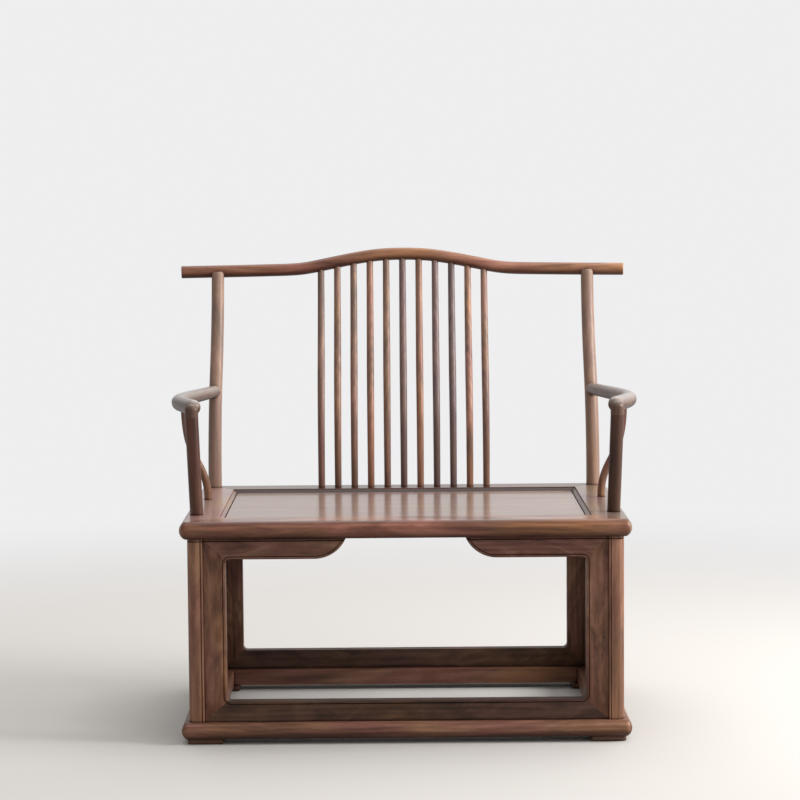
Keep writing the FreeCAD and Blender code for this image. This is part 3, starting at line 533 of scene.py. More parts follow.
def upward_look(tree):
    """How far a face looks up, from minus one to one."""
    facing = tree.nodes.new("ShaderNodeSeparateXYZ")
    geometry = tree.nodes.new("ShaderNodeNewGeometry")
    feed(tree, facing.inputs["Vector"], geometry.outputs["Normal"])
    return facing.outputs["Z"]


def place_in_log(tree, grain, seed):
    """Object coordinates moved to the piece's own random place in the log."""
    spot = np.random.default_rng(seed).uniform(-1, 1, 3)
    spot["XYZ".index(grain)] *= LOG_STRETCH
    coordinates = tree.nodes.new("ShaderNodeTexCoord")
    place = tree.nodes.new("ShaderNodeMapping")
    feed(tree, place.inputs["Location"], spot)
    feed(tree, place.inputs["Vector"], coordinates.outputs["Object"])
    return place.outputs["Vector"]


def grain_noise(tree, source, grain, across, along, detail, distortion=0.0):
    """Noise that is long along the grain and short across it, as patterns per metre."""
    scale = [across, across, across]
    scale["XYZ".index(grain)] = along
    mapping = tree.nodes.new("ShaderNodeMapping")
    feed(tree, mapping.inputs["Scale"], scale)
    feed(tree, mapping.inputs["Vector"], source)
    noise = tree.nodes.new("ShaderNodeTexNoise")
    feed(tree, noise.inputs["Scale"], 1.0)
    feed(tree, noise.inputs["Detail"], detail)
    feed(tree, noise.inputs["Roughness"], 0.58)
    feed(tree, noise.inputs["Distortion"], distortion)
    feed(tree, noise.inputs["Vector"], mapping.outputs["Vector"])
    return noise.outputs["Fac"]


def growth_rings(tree, source, grain):
    """Rings about the grain's axis, bent by the wave texture's own noise."""
    rings = tree.nodes.new("ShaderNodeTexWave")
    rings.wave_type = "RINGS"
    rings.rings_direction = grain
    feed(tree, rings.inputs["Scale"], WAVE_PITCH / bpy.context.scene.chair_wood.ring_width)
    feed(tree, rings.inputs["Distortion"], 9.0)
    feed(tree, rings.inputs["Detail"], 3.0)
    feed(tree, rings.inputs["Detail Scale"], 0.06)
    feed(tree, rings.inputs["Vector"], source)
    return rings.outputs["Fac"]


def toned(tree, figure, warmth, depth, pale):
    """Dark, middle and light tone of the wood laid over its figure.

    Depth scales the tones, pale takes them towards the painted sheen tone, a paler veil that
    stands for reflected light, and warmth casts them red.
    """
    wood = bpy.context.scene.chair_wood
    cast = np.array([warmth, min(1.0, (1 + warmth) / 2), 1 / warmth])
    ramp = tree.nodes.new("ShaderNodeValToRGB")
    stops = ramp.color_ramp.elements
    for index, colour in enumerate((wood.dark, wood.middle, wood.light)):
        stop = stops[index] if index < len(stops) else stops.new(TONE_PLACES[index])
        stop.position = TONE_PLACES[index]
        tone = np.array(colour) * depth * (1 - pale) + np.array(wood.painted_sheen_tone) * pale
        stop.color = (*(tone * cast), 1)
    feed(tree, ramp.inputs["Fac"], figure)
    return ramp.outputs["Color"]


def darkened_by_place(tree, colour, stains):
    """Colour that each darkening makes darker from where it begins to where it is full; most are painted
    shade.
    """
    coordinates = tree.nodes.new("ShaderNodeTexCoord")
    where = tree.nodes.new("ShaderNodeSeparateXYZ")
    feed(tree, where.inputs["Vector"], coordinates.outputs["Object"])
    for axis, begin, full, strength in stains:
        reach = product(tree, span(tree, where.outputs[axis], begin, full), strength)
        colour = tinted(tree, colour, DARKENING_TINT, reach)
    return colour


def walnut(name, grain, seed, warmth=1.0, depth=1.0, matt=0.0, polish=0.0, figured=1.0, pale=0.0,
           painted_top_sheen=0.0, flush=1.0, swirl=0.0, brow=0.0, stains=()):
    """Lacquered walnut; the grain is the letter of the axis that it runs along.

    Broad and fine streaks are noises stretched along the grain, and faint growth rings are bent
    by their own noise. They set the colour, and the fine ones a slight relief with the pores. A
    slow noise shifts the hue from place to place, and short pores darken it. Grooves, joints and
    undersides are darker by painted shade, and edges are rubbed lighter. The seed moves the piece
    to its own place in the log.

    Warmth and depth scale the colours. Pale lays a painted sheen over the whole piece, a paler
    veil that stands for reflected light, and a top sheen lays a painted sheen on its upper faces.
    Figured sets how strong the streaks are, swirl how wild they are, and flush how far the hue
    goes to gold and to plum. Matt makes the wood and its lacquer rougher, and polish lays more
    lacquer on the faces that look up. A brow shade is painted shade: a darker band just under the
    upper arris of a nosing. A darkening is an axis, the places where it begins and is full, and
    its strength; most are painted shade.
    """
    wood = bpy.context.scene.chair_wood
    material = bpy.data.materials.new(name)
    material.use_nodes = True
    tree = material.node_tree
    shader = tree.nodes["Principled BSDF"]
    source = place_in_log(tree, grain, seed)
    up = upward_look(tree)

    rings = growth_rings(tree, source, grain)
    broad = grain_noise(tree, source, grain, across=22.0, along=3.4 * (1 + swirl), detail=3.0,
                        distortion=1.3 + swirl)
    fine = grain_noise(tree, source, grain, across=150.0, along=7.0, detail=4.0, distortion=0.3)
    hue = grain_noise(tree, source, grain, across=13.0, along=4.5, detail=2.0)
    pores = grain_noise(tree, source, grain, across=1100.0, along=60.0, detail=1.0)
    pores = span(tree, pores, *PORE_SPAN)
    figure = total(tree, product(tree, rings, RING_SHARE), product(tree, broad, BROAD_SHARE))
    figure = total(tree, figure, product(tree, fine, FINE_SHARE))
    figure = total(tree, product(tree, figure, figured), 0.5 - 0.5 * figured)

    colour = toned(tree, figure, warmth, depth, pale)
    colour = tinted(tree, colour, GOLD_TINT, product(tree, span(tree, hue, *GOLD_SPAN), flush))
    colour = tinted(tree, colour, PLUM_TINT, product(tree, span(tree, hue, *PLUM_SPAN), flush))
    # Painted sheen on the faces that look up
    if painted_top_sheen:
        colour = mixed(tree, colour, wood.painted_top_sheen, product(tree, span(tree, up, *TOP_SHEEN_SPAN), painted_top_sheen))
    # Darkenings along an axis; most of them are painted shade
    if stains:
        colour = darkened_by_place(tree, colour, stains)
    # Painted shade on the faces that look down
    colour = tinted(tree, colour, UNDERSIDE_SHADE_TINT, span(tree, up, *UNDERSIDE_SHADE_SPAN))
    # Painted shade in a band under a nosing's upper arris
    if brow:
        brow_shade_band = product(tree, span(tree, up, *BROW_SHADE_SPAN), span(tree, up, *BROW_SHADE_TOP_SPAN))
        colour = tinted(tree, colour, BROW_SHADE_TINT, product(tree, brow_shade_band, brow))
    colour = tinted(tree, colour, PORE_TINT, product(tree, pores, PORE_STRENGTH))
    rubbed = span(tree, openness(tree, wood.wear, True), *RUBBED_SPAN)
    colour = tinted(tree, colour, RUBBED_TINT, rubbed)
    # Painted shade in grooves, at joints and under edges; the shine there is less as well
    free = span(tree, openness(tree, wood.crevice_shade_reach, False), *FREE_SPAN)
    colour = tinted(tree, colour, CREVICE_SHADE_TINT, math_node(tree, "SUBTRACT", 1.0, free))
    feed(tree, shader.inputs["Base Color"], colour)

    dullness = total(tree, product(tree, figure, -FIGURE_SHEEN), wood.roughness + matt + FIGURE_SHEEN / 2)
    dullness = total(tree, dullness, product(tree, rubbed, RUBBED_DULLNESS))
    feed(tree, shader.inputs["Roughness"], dullness)
    feed(tree, shader.inputs["Specular IOR Level"], product(tree, free, wood.gloss))
    feed(tree, shader.inputs["IOR"], 1.5)
    bump = tree.nodes.new("ShaderNodeBump")
    feed(tree, bump.inputs["Strength"], 0.22)
    feed(tree, bump.inputs["Distance"], 0.0003)
    relief = math_node(tree, "SUBTRACT", product(tree, fine, FINE_RELIEF), pores)
    feed(tree, bump.inputs["Height"], relief)
    feed(tree, shader.inputs["Normal"], bump.outputs["Normal"])
    lacquer = total(tree, product(tree, span(tree, up, *POLISH_SPAN), polish), wood.lacquer)
    feed(tree, shader.inputs["Coat Weight"], product(tree, free, lacquer))
    feed(tree, shader.inputs["Coat Roughness"], wood.lacquer_roughness + matt)
    return material


def dress(names, grain, seed, **finish):
    """Give CAD nodes their own piece of walnut each."""
    for index, name in enumerate(names):
        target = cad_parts[name]
        target.data.materials.clear()
        target.data.materials.append(walnut("walnut_" + name, grain, seed + index, **finish))


def wooden(node, rings, grain, seed, slot="frame_wood", crease=35, **finish):
    """One closed skin over rings, with its own piece of walnut, that stands for a CAD node."""
    material = walnut("walnut_" + node, grain, seed, **finish)
    make_piece(node, [closed_skin(rings)], [material], crease)


# Back

def top_rail_path(count):
    """Path of the top rail: level ends, a low hump and a slight bow to the rear.

    The bow loses the square of the share of the way out, and the hump's height follows its shares.
    """
    half = SEAT_WIDTH / 2 - REAR_POST_HEAD_INSET + TOP_RAIL_OVERHANG - TOP_RAIL_EDGE
    out_shares = np.array([0.0, 0.11, 0.25, 0.37, 0.45, 0.56, 0.78, 1.0])
    rise_shares = np.array([1.0, 0.94, 0.66, 0.34, 0.155, 0.075, 0.03, 0.0])
    level_y = REAR_Y - REAR_POST_INSET + REAR_POST_RAKE
    right = np.stack([half * out_shares, level_y + TOP_RAIL_BOW * (1 - out_shares ** 2),
                      SEAT_TOP + TOP_RAIL_HEIGHT + TOP_RAIL_HUMP * rise_shares], -1)
    left = right[:0:-1] * (-1, 1, 1)
    return cubic_through(np.concatenate([left, right]), count)


def rear_post_points(side):
    """Points of a rear post: upright at the seat, then in, and back in a soft S.

    Each is the foot and three shares of the way to the head: across, back and up.
    """
    foot = np.array([side * (SEAT_WIDTH / 2 - REAR_POST_INSET), REAR_Y - REAR_POST_INSET, SEAT_TOP])
    head = np.array([side * (SEAT_WIDTH / 2 - REAR_POST_HEAD_INSET), foot[1] + REAR_POST_RAKE,
                     SEAT_TOP + TOP_RAIL_HEIGHT])
    inward_shares = (0.0, 0.10, 0.36, 0.68, 0.90, 1.0)
    lean_shares = (0.0, 0.08, 0.27, 0.54, 0.82, 1.0)
    height_shares = (0.0, 0.25, 0.45, 0.62, 0.80, 1.0)
    return foot + (head - foot) * np.stack([inward_shares, lean_shares, height_shares], -1)


class CHAIR_OT_top_rail(bpy.types.Operator):
    """Top rail: a bent round rod with eased ends"""

    bl_idname = "chair.top_rail"
    bl_label = "Top rail"

    def execute(self, context):
        places, ways = top_rail_path(TOP_RAIL_RINGS)
        radii = np.full(len(places), TOP_RAIL_RADIUS)
        middle = circles(places, ways, radii, UP)
        last = rounded_end(places[-1], ways[-1], TOP_RAIL_RADIUS, TOP_RAIL_EDGE, UP)
        first = rounded_end(places[0], -ways[0], TOP_RAIL_RADIUS, TOP_RAIL_EDGE, UP)
        # The first end runs the other way, so its rings and their points are reversed
        first = np.roll(first[::-1, ::-1], 1, axis=1)
        rings = np.concatenate([first, middle, last])
        # Painted shade darkens the top rail towards its left end, and pale adds a slight painted sheen
        wooden("top_rail", rings, "X", seed=12, warmth=1.03, depth=1.3, pale=0.04, stains=[TOP_RAIL_SHADE])
        return {"FINISHED"}


class CHAIR_OT_rear_posts(bpy.types.Operator):
    """Two rear posts that bend in and back up to the top rail"""

    bl_idname = "chair.rear_posts"
    bl_label = "Rear posts"

    def execute(self, context):
        # The last ring, hidden in the top rail, is smaller
        inside = REAR_POST_HEAD_RADIUS - TOP_RAIL_EDGE
        radii = [REAR_POST_FOOT_RADIUS, REAR_POST_HEAD_RADIUS]
        for index, (side, name) in enumerate(SIDES):
            rings = rod(rear_post_points(side), radii, BENT_ROD_RINGS, RIGHT)
            centre = rings[-1].mean(0)
            rings[-1] = centre + (rings[-1] - centre) * inside / REAR_POST_HEAD_RADIUS
            # A painted sheen pales the rear posts, and painted shade darkens them towards the seat
            wooden("rear_post_" + name, rings, "Z", seed=20 + index, depth=1.1, pale=0.38, flush=0.4,
                   stains=[REAR_POST_SHADE])
        return {"FINISHED"}


class CHAIR_OT_spindles(bpy.types.Operator):
    """Thin spindles, fuller in the middle, that lean back to the top rail"""

    bl_idname = "chair.spindles"
    bl_label = "Spindles"

    def execute(self, context):
        # A point is the foot and shares of the way to the head, which is on the top rail's path
        places, _ = top_rail_path(PATH_SAMPLES)
        lean_shares = (0.0, 0.02, 0.17, 0.50, 0.80, 1.0)
        height_shares = (0.0, 0.18, 0.38, 0.58, 0.78, 1.0)
        shares = np.stack([np.zeros(len(lean_shares)), lean_shares, height_shares], -1)
        radii = [SPINDLE_END_RADIUS, SPINDLE_MIDDLE_RADIUS, SPINDLE_END_RADIUS]
        warmths = (0.96, 1.02, 0.98, 1.08, 1.0, 0.88, 1.08, 0.84, 0.80, 0.98, 0.98)
        depths = (0.95, 1.05, 1.1, 1.25, 0.95, 0.75, 1.25, 0.75, 0.7, 1.95, 1.15)
        for index in range(SPINDLE_COUNT):
            x = (index - (SPINDLE_COUNT - 1) / 2) * SPINDLE_PITCH
            foot = np.array([x, REAR_Y - SPINDLE_FOOT_SETBACK, SEAT_TOP])
            head = np.array([np.interp(x, places[:, 0], places[:, axis]) for axis in range(3)])
            rings = rod(foot + (head - foot) * shares, radii, SPINDLE_RINGS, RIGHT)
            # A painted sheen pales the spindles, and painted shade darkens them towards the seat
            wooden("spindle_%02d" % (index + 1), rings, "Z", seed=30 + index, warmth=warmths[index],
                   depth=depths[index], pale=0.26, flush=0.6, figured=1.2, stains=[SPINDLE_SHADE])
        return {"FINISHED"}


# Arms

def arm_points(side):
    """Points of an arm: out and forward from the rear post to an elbow, then in to the front.

    Both stretches are shares of their way across and forward, and the arm rises evenly forward.
    """
    post, _ = cubic_through(rear_post_points(side), PATH_SAMPLES)
    height = SEAT_TOP + ARM_HEIGHT
    start = np.array([np.interp(height, post[:, 2], post[:, axis]) for axis in range(3)])
    elbow_x = SEAT_WIDTH / 2 + ARM_ELBOW_REACH
    nose_x = SEAT_WIDTH / 2 - FRONT_POST_HEAD_INSET - ARM_NOSE_SHIFT
    elbow_y = FRONT_Y + ARM_ELBOW_SETBACK
    nose_y = FRONT_Y + ARM_NOSE_SETBACK
    out_shares = np.array([0.0, 0.26, 0.61, 0.92, 1.0])
    rear_shares = np.array([0.0, 0.22, 0.50, 0.80, 1.0])
    in_shares = np.array([0.12, 0.52, 1.0])
    front_shares = np.array([0.30, 0.65, 1.0])
    x = np.concatenate([abs(start[0]) + (elbow_x - abs(start[0])) * out_shares,
                        elbow_x - (elbow_x - nose_x) * in_shares])
    y = np.concatenate([start[1] - (start[1] - elbow_y) * rear_shares,
                        elbow_y - (elbow_y - nose_y) * front_shares])
    z = start[2] + ARM_RISE * (start[1] - y) / (start[1] - nose_y)
    return np.stack([side * x, y, z], -1)


def front_post_head(side):
    """Middle of the joint between a front arm post and its arm."""
    return np.array([side * (SEAT_WIDTH / 2 - FRONT_POST_HEAD_INSET), FRONT_Y + FRONT_POST_SETBACK,
                     SEAT_TOP + SOCKET_JOINT])


class CHAIR_OT_arms(bpy.types.Operator):
    """Arms: bent round rods with a round nose, and an upright end with a half-round dome"""

    bl_idname = "chair.arms"
    bl_label = "Arms"

    def execute(self, context):
        middle_radius = (ARM_REAR_RADIUS + ARM_FRONT_RADIUS) / 2
        radii = [ARM_REAR_RADIUS, middle_radius, ARM_FRONT_RADIUS, ARM_FRONT_RADIUS]
        straight = DOME_HEIGHT - SOCKET_JOINT - SOCKET_RADIUS
        for index, (side, name) in enumerate(SIDES):
            places, ways = cubic_through(arm_points(side), BENT_ROD_RINGS)
            share = np.linspace(0, 1, len(places))
            girth = np.interp(share, np.linspace(0, 1, len(radii)), radii)
            body = circles(places, ways, girth, UP)
            nose = rounded_end(places[-1], ways[-1], ARM_NOSE_RADIUS, ARM_NOSE_RADIUS * (1 - TIP_SHARE),
                               UP, DOME_STEPS)
            # The dome's rings rise by the sine of their turn, and the cosine is their share of the radius
            turn = np.linspace(0, math.pi / 2, DOME_STEPS + 1)
            rise = np.concatenate([[0], straight + SOCKET_RADIUS * np.sin(turn)])
            girth = SOCKET_RADIUS * np.concatenate([[1], np.maximum(np.cos(turn), TIP_SHARE)])
            stack = front_post_head(side) + rise[:, None] * UP
            dome = circles(stack, np.tile(UP, (len(rise), 1)), girth, RIGHT)
            # A painted sheen pales the faces that look up, strongly on the arm and less on the dome
            rod_finish = walnut("walnut_arm_" + name, "Y", seed=50 + index, depth=0.5, polish=0.9, painted_top_sheen=0.8)
            dome_finish = walnut("walnut_dome_" + name, "Z", seed=52 + index, depth=0.42, polish=0.6,
                                 painted_top_sheen=0.22)
            make_piece("arm_" + name, [closed_skin(np.concatenate([body, nose])), closed_skin(dome)],
                       [rod_finish, dome_finish])
        return {"FINISHED"}


class CHAIR_OT_front_posts(bpy.types.Operator):
    """Front arm posts, which lean out a little"""

    bl_idname = "chair.front_posts"
    bl_label = "Front posts"

    def execute(self, context):
        # Level rings go evenly from foot to head, in place and in radius
        depths = (0.45, 0.25)
        share = np.linspace(0, 1, FRONT_POST_RINGS)[:, None]
        radii = FRONT_POST_FOOT_RADIUS + (FRONT_POST_HEAD_RADIUS - FRONT_POST_FOOT_RADIUS) * share[:, 0]
        for index, (side, name) in enumerate(SIDES):
            head = front_post_head(side)
            foot = np.array([side * (SEAT_WIDTH / 2 - FRONT_POST_FOOT_INSET), head[1], SEAT_TOP])
            rings = circles(foot + (head - foot) * share, np.tile(UP, (len(share), 1)), radii, RIGHT)
            wooden("front_post_" + name, rings, "Z", seed=60 + index, warmth=1.14, depth=depths[index])
        return {"FINISHED"}


class CHAIR_OT_side_sticks(bpy.types.Operator):
    """Curved sticks that sweep out from the seat to under the arms"""

    bl_idname = "chair.side_sticks"
    bl_label = "Side sticks"

    def execute(self, context):
        # A point is the foot and shares of the way to the head: out, forward and up
        rise = ARM_HEIGHT + ARM_RISE / 2
        sweep_shares = (0.0, 0.03, 0.24, 0.56, 0.84, 0.97, 1.0)
        lean_shares = (0.0, 0.04, 0.20, 0.42, 0.66, 0.86, 1.0)
        height_shares = (0.0, 0.12, 0.28, 0.42, 0.58, 0.74, 1.0)
        shares = np.stack([sweep_shares, lean_shares, height_shares], -1)
        for index, (side, name) in enumerate(SIDES):
            foot = np.array([side * (SEAT_WIDTH / 2 - STICK_FOOT_INSET), FRONT_Y + STICK_FOOT_SETBACK,
                             SEAT_TOP])
            head = np.array([side * (SEAT_WIDTH / 2 - STICK_HEAD_INSET), FRONT_Y + STICK_HEAD_SETBACK,
                             SEAT_TOP + rise])
            rings = rod(foot + (head - foot) * shares, [STICK_RADIUS] * 2, SIDE_STICK_RINGS, RIGHT)
            wooden("side_stick_" + name, rings, "Z", seed=64 + index, depth=0.8)
        return {"FINISHED"}


# Seat and base

class CHAIR_OT_seat_frame(bpy.types.Operator):
    """Mitred seat rails: an arched nosing, a fine groove and a sunk inner bevel"""

    bl_idname = "chair.seat_frame"
    bl_label = "Seat frame"

    def execute(self, context):
        joints = context.scene.chair_joints
        low = SEAT_TOP - NOSING_HEIGHT
        bevel_start = SEAT_RAIL_FLAT + joints.line_width
        slope = (SEAT_TOP - PANEL_TOP) / (SEAT_RAIL_WIDTH - SEAT_RAIL_FLAT)
        profile = [(SEAT_RAIL_WIDTH, low), (SEAT_RAIL_WIDTH, PANEL_TOP),
                   (bevel_start, SEAT_TOP - joints.line_width * slope),
                   (SEAT_RAIL_FLAT + joints.line_width / 2, SEAT_TOP - joints.line_depth),
                   (SEAT_RAIL_FLAT, SEAT_TOP)] + nosing(SEAT_TOP, NOSING_HEIGHT, NOSING_INSET)
        # Painted light: the rails are lit and shaded copies of one wood, the left rail lighter and the
        # right and rear rails darker, and pale lays a painted sheen on the side rails
        depths = (1.35, 0.42, 0.60, 1.2)
        painted_sheens = (0.0, 0.38, 0.0, 0.5)
        contrasts = (1.35, 0.7, 0.7, 0.7)
        # The front rail is darker for its last stretch at each end
        ends = [("X", side * (SEAT_WIDTH / 2 - END_DARKENING_REACH), side * SEAT_WIDTH / 2, 0.8)
                for side, _ in SIDES]
        # Painted shade on the rear rail's sunk bevel, laid on twice
        bevel_y = REAR_Y - SEAT_RAIL_FLAT
        twice_painted_bevel_shade = [("Y", bevel_y, bevel_y - joints.line_width, 1.0)] * 2
        stains = (ends, (), twice_painted_bevel_shade, ())
        # Each rail gets a painted shade band under the nosing's upper arris
        for turn, name in enumerate(FRAME_SIDES):
            rings = mitred_rail(profile, NOSING_CORNER, turn)
            wooden("seat_rail_" + name, rings, FRAME_GRAINS[turn], seed=70 + turn, crease=22, warmth=1.03,
                   depth=depths[turn], pale=painted_sheens[turn], figured=contrasts[turn],
                   polish=context.scene.chair_wood.polish, brow=0.8, stains=stains[turn])
        return {"FINISHED"}


class CHAIR_OT_seat_panel(bpy.types.Operator):
    """Floating seat panel with an eased edge, and the battens under it"""

    bl_idname = "chair.seat_panel"
    bl_label = "Seat panel"

    def execute(self, context):
        joints = context.scene.chair_joints
        half_x = SEAT_WIDTH / 2 - SEAT_RAIL_WIDTH - joints.panel_gap
        half_y = SEAT_DEPTH / 2 - SEAT_RAIL_WIDTH - joints.panel_gap
        # The eased edge is a quarter circle, and two more rings lie on the flat beside it
        ease = joints.panel_ease
        layers = [(0, PANEL_TOP - PANEL_THICKNESS)]
        layers += [(ease * (1 - math.cos(turn)), PANEL_TOP - ease * (1 - math.sin(turn)))
                   for turn in np.linspace(0, math.pi / 2, EDGE_STEPS)]
        layers += [(1.5 * ease, PANEL_TOP), (2 * ease, PANEL_TOP)]
        rings = slab(np.array([0.0, MIDDLE_Y]), half_x, half_y, 3 * ease, layers)
        # A painted sheen pales the panel: a paler veil that stands for reflected light
        wooden("seat_panel", rings, "X", seed=75, slot="panel_wood", depth=1.2, matt=-0.04, pale=0.44,
               flush=0.5, figured=0.5, polish=context.scene.chair_wood.polish)
        dress(["seat_batten_left", "seat_batten_right"], "Y", seed=80)
        return {"FINISHED"}


class CHAIR_OT_floor_frame(bpy.types.Operator):
    """Mitred floor rails with an arched nosing"""

    bl_idname = "chair.floor_frame"
    bl_label = "Floor frame"

    def execute(self, context):
        high = FLOOR_RAIL_LOW + FLOOR_RAIL_HEIGHT
        profile = [(FLOOR_RAIL_WIDTH, FLOOR_RAIL_LOW), (FLOOR_RAIL_WIDTH, high)]
        profile += nosing(high, FLOOR_RAIL_HEIGHT, FLOOR_INSET)
        depths = (1.1, 1.0, 0.78, 1.0)
        for turn, name in enumerate(FRAME_SIDES):
            rings = mitred_rail(profile, FLOOR_CORNER, turn)
            # A painted shade band lies under each floor rail's upper arris
            wooden("floor_rail_" + name, rings, FRAME_GRAINS[turn], seed=90 + turn, crease=22,
                   depth=depths[turn], brow=0.5)
        return {"FINISHED"}


class CHAIR_OT_feet(bpy.types.Operator):
    """Flat feet with rounded corners and a bevelled sole"""

    bl_idname = "chair.feet"
    bl_label = "Feet"

    def execute(self, context):
        inset = FOOT_SETBACK + FOOT_WIDTH / 2
        half = FOOT_WIDTH / 2
        layers = [(FOOT_CHAMFER, 0), (0, FOOT_CHAMFER), (0, FLOOR_RAIL_LOW)]
        for end, end_name in ENDS:
            for side, side_name in SIDES:
                middle = np.array([side * (SEAT_WIDTH / 2 - inset),
                                   MIDDLE_Y + end * (SEAT_DEPTH / 2 - inset)])
                rings = slab(middle, half, half, FOOT_CORNER, layers)
                # Painted shade: the feet are made dark, as if in shadow
                wooden("foot_" + end_name + "_" + side_name, rings, "X", seed=200 + end + 3 * side,
                       depth=0.5)
        return {"FINISHED"}


class CHAIR_OT_boards(bpy.types.Operator):
    """Boards of the four open frames between the corner posts"""

    bl_idname = "chair.boards"
    bl_label = "Boards"

    def execute(self, context):
        finish = {"matt": 0.15, "swirl": 1.0}
        for index, name in enumerate(FRAME_SIDES):
            seed = 110 + 10 * index
            along = FRAME_GRAINS[index]
            # Painted shade: the bottom boards are made darker, as if little light reached them near the
            # floor
            dress([name + "_bottom_board"], along, seed, depth=0.34, **finish)
            dress([name + "_left_apron", name + "_right_apron"], along, seed + 1, depth=0.80, warmth=0.97,
                  **finish)
            # The stiles are darker towards the bottom and towards the top
            dress([name + "_left_stile", name + "_right_stile"], "Z", seed + 5, depth=0.94,
                  stains=STILE_DARKENINGS, **finish)
        return {"FINISHED"}


class CHAIR_OT_base_posts(bpy.types.Operator):
    """Corner posts of the base"""

    bl_idname = "chair.base_posts"
    bl_label = "Base posts"

    def execute(self, context):
        corners = [end + "_" + side for _, end in ENDS for _, side in SIDES]
        # A slight painted sheen pales the base posts
        dress(["base_post_" + corner for corner in corners], "Z", seed=190, depth=1.28, matt=0.1,
              pale=0.03, flush=0.5)
        return {"FINISHED"}


# Stage

def lamp(name, place, target, size, power, colour):
    """Square area lamp that looks at a point."""
    data = bpy.data.lights.new(name, "AREA")
    data.size = size
    data.energy = power
    data.color = colour
    light = bpy.data.objects.new(name, data)
    light.location = place
    light.rotation_euler = (Vector(target) - Vector(place)).to_track_quat("-Z", "Y").to_euler()
    bpy.context.scene.collection.objects.link(light)


def direct_rays(tree):
    """One for camera rays, and one for those and the rays off a shine or through glass."""
    path = tree.nodes.new("ShaderNodeLightPath")
    camera = path.outputs["Is Camera Ray"]
    eye = math_node(tree, "MAXIMUM", camera, path.outputs["Is Glossy Ray"])
    eye = math_node(tree, "MAXIMUM", eye, path.outputs["Is Transmission Ray"])
    return camera, eye


def crossed(tree, factor, first, second):
    """Shader that goes from the first to the second as a factor says."""
    mix = tree.nodes.new("ShaderNodeMixShader")
    feed(tree, mix.inputs["Fac"], factor)
    feed(tree, mix.inputs[1], first)
    feed(tree, mix.inputs[2], second)
    return mix.outputs["Shader"]


def floor_paint(stage):
    """Matt pale floor that turns into the backdrop far from the chair.

    It does so for the camera and in shines; the light that it throws back on the chair is less.
    """
    material = bpy.data.materials.new("floor_paint")
    material.use_nodes = True
    tree = material.node_tree
    _, eye = direct_rays(tree)
    shader = tree.nodes["Principled BSDF"]
    bounced = np.array(stage.floor_colour) * stage.floor_bounce
    feed(tree, shader.inputs["Base Color"], mixed(tree, (*bounced, 1), stage.floor_colour, eye))
    feed(tree, shader.inputs["Roughness"], 0.9)
    coordinates = tree.nodes.new("ShaderNodeTexCoord")
    distance = tree.nodes.new("ShaderNodeVectorMath")
    distance.operation = "LENGTH"
    feed(tree, distance.inputs[0], coordinates.outputs["Object"])
    fade = tree.nodes.new("ShaderNodeMapRange")
    fade.interpolation_type = "SMOOTHSTEP"
    feed(tree, fade.inputs["From Min"], stage.fade_start)
    feed(tree, fade.inputs["From Max"], stage.fade_end)
    feed(tree, fade.inputs["Value"], distance.outputs["Value"])
    seen = tree.nodes.new("ShaderNodeEmission")
    feed(tree, seen.inputs["Color"], (*stage.backdrop_colour, 1))
    faded = product(tree, eye, fade.outputs["Result"])
    surface = crossed(tree, faded, shader.outputs["BSDF"], seen.outputs["Emission"])
    feed(tree, tree.nodes["Material Output"].inputs["Surface"], surface)
    return material


def make_world(stage):
    """Room light that comes most from the right and a little from above, and the backdrop.

    Its level is a base and how far a direction leans to the light side, and never under a least
    level. The camera sees the backdrop at one or at that level, whichever is more.
    """
    light_side = (0.40, 0.0, 0.20)
    base_level = 0.66
    least_level = 0.12
    world = bpy.data.worlds.new("room")
    bpy.context.scene.world = world
    world.use_nodes = True
    tree = world.node_tree
    coordinates = tree.nodes.new("ShaderNodeTexCoord")
    lean = tree.nodes.new("ShaderNodeVectorMath")
    lean.operation = "DOT_PRODUCT"
    feed(tree, lean.inputs[1], light_side)
    feed(tree, lean.inputs[0], coordinates.outputs["Generated"])
    level = math_node(tree, "MAXIMUM", total(tree, lean.outputs["Value"], base_level), least_level)
    room = tree.nodes["Background"]
    feed(tree, room.inputs["Color"], (1.0, 0.975, 0.94, 1))
    feed(tree, room.inputs["Strength"], product(tree, level, stage.room_light))
    camera, eye = direct_rays(tree)
    seen = tree.nodes.new("ShaderNodeBackground")
    feed(tree, seen.inputs["Color"], (*stage.backdrop_colour, 1))
    feed(tree, seen.inputs["Strength"], math_node(tree, "MAXIMUM", camera, level))
    surface = crossed(tree, eye, room.outputs["Background"], seen.outputs["Background"])
    feed(tree, tree.nodes["World Output"].inputs["Surface"], surface)


def make_camera(scene):
    """Camera at the photograph's place: a long lens, a little above the top of the back."""
    place = (-0.019, -5.11175, 1.06213)
    yaw, pitch, roll = 0.00217, 0.08446, -0.00777
    ahead = Vector((math.sin(yaw) * math.cos(pitch), math.cos(yaw) * math.cos(pitch), -math.sin(pitch)))
    right = Vector((math.cos(yaw), -math.sin(yaw), 0))
    above = right.cross(ahead)
    turned_right = right * math.cos(roll) + above * math.sin(roll)
    turned_above = above * math.cos(roll) - right * math.sin(roll)
    turn = Matrix((turned_right, turned_above, -ahead)).transposed().to_4x4()
    data = bpy.data.cameras.new("camera")
    data.sensor_width = 36.0
    data.lens = 114.54
    camera = bpy.data.objects.new("camera", data)
    camera.matrix_world = Matrix.Translation(place) @ turn
    scene.collection.objects.link(camera)
    scene.camera = camera


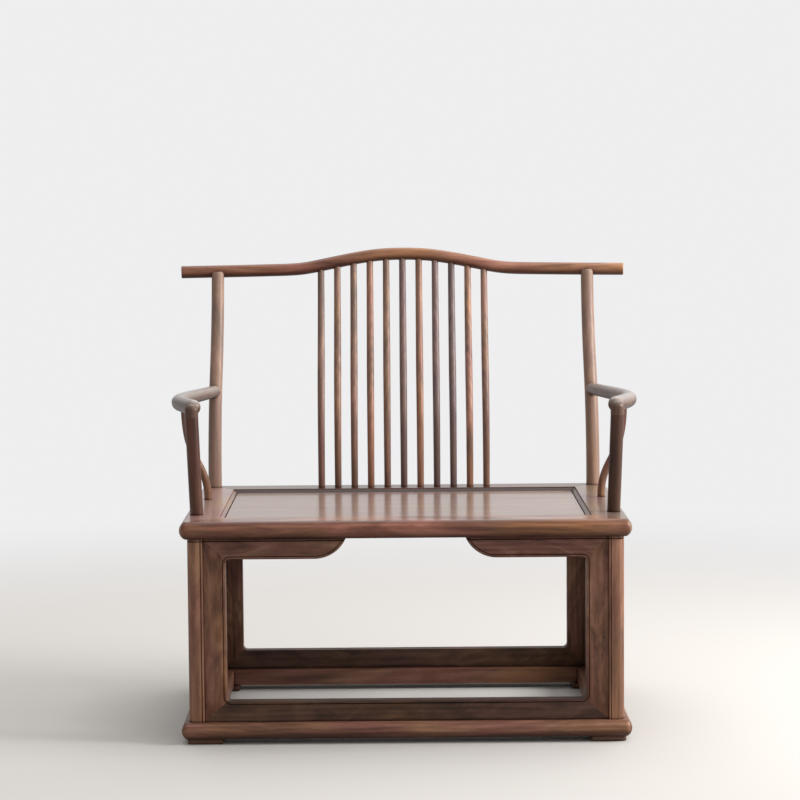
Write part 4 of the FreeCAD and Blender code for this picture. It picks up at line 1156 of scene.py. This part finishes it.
class CHAIR_OT_stage(bpy.types.Operator):
    """Floor, backdrop, lamps and the camera"""

    bl_idname = "chair.stage"
    bl_label = "Stage"

    def execute(self, context):
        scene = context.scene
        stage = scene.chair_stage
        reach = 30.0
        corners = [(-reach, -reach, 0), (reach, -reach, 0), (reach, reach, 0), (-reach, reach, 0)]
        mesh = bpy.data.meshes.new("floor")
        mesh.from_pydata(corners, [], [(0, 1, 2, 3)])
        floor = bpy.data.objects.new("floor", mesh)
        floor.data.materials.append(floor_paint(stage))
        scene.collection.objects.link(floor)
        make_world(stage)
        lamp("window_lamp", place=(2.9, -0.5, 1.7), target=(0, 0.2, 0.6), size=1.3,
             power=stage.window_power, colour=(1.0, 0.98, 0.95))
        lamp("ceiling_lamp", place=(0.2, 1.2, 3.2), target=(0, 0, 0.4), size=3.0,
             power=stage.ceiling_power, colour=(1.0, 0.99, 0.98))
        make_camera(scene)
        scene.view_settings.view_transform = "Standard"
        return {"FINISHED"}


OPERATORS = (CHAIR_OT_top_rail, CHAIR_OT_rear_posts, CHAIR_OT_spindles, CHAIR_OT_arms, CHAIR_OT_front_posts,
             CHAIR_OT_side_sticks, CHAIR_OT_seat_frame, CHAIR_OT_seat_panel, CHAIR_OT_floor_frame,
             CHAIR_OT_feet, CHAIR_OT_boards, CHAIR_OT_base_posts, CHAIR_OT_stage)


class CHAIR_PT_panel(bpy.types.Panel):
    """Panel that lists the pieces of the chair"""

    bl_idname = "CHAIR_PT_panel"
    bl_label = "Official hat chair"
    bl_space_type = "VIEW_3D"
    bl_region_type = "UI"
    bl_category = "Chair"

    def draw(self, context):
        scene = context.scene
        for settings in (scene.chair_wood, scene.chair_joints, scene.chair_stage):
            for name in settings.__annotations__:
                self.layout.prop(settings, name)
        for operator in OPERATORS:
            self.layout.operator(operator.bl_idname)


CLASSES = (ChairWood, ChairJoints, ChairStage) + OPERATORS + (CHAIR_PT_panel,)


def register():
    """Tell Blender of the classes, and hang their settings on the scene."""
    for cls in CLASSES:
        bpy.utils.register_class(cls)
    bpy.types.Scene.chair_wood = PointerProperty(type=ChairWood)
    bpy.types.Scene.chair_joints = PointerProperty(type=ChairJoints)
    bpy.types.Scene.chair_stage = PointerProperty(type=ChairStage)


def unregister():
    """Undo what register did."""
    del bpy.types.Scene.chair_stage
    del bpy.types.Scene.chair_joints
    del bpy.types.Scene.chair_wood
    for cls in reversed(CLASSES):
        bpy.utils.unregister_class(cls)


def main():
    """Make every piece in order."""
    register()
    for operator in OPERATORS:
        group, name = operator.bl_idname.split(".")
        getattr(getattr(bpy.ops, group), name)()


if __name__ == "__main__":
    main()
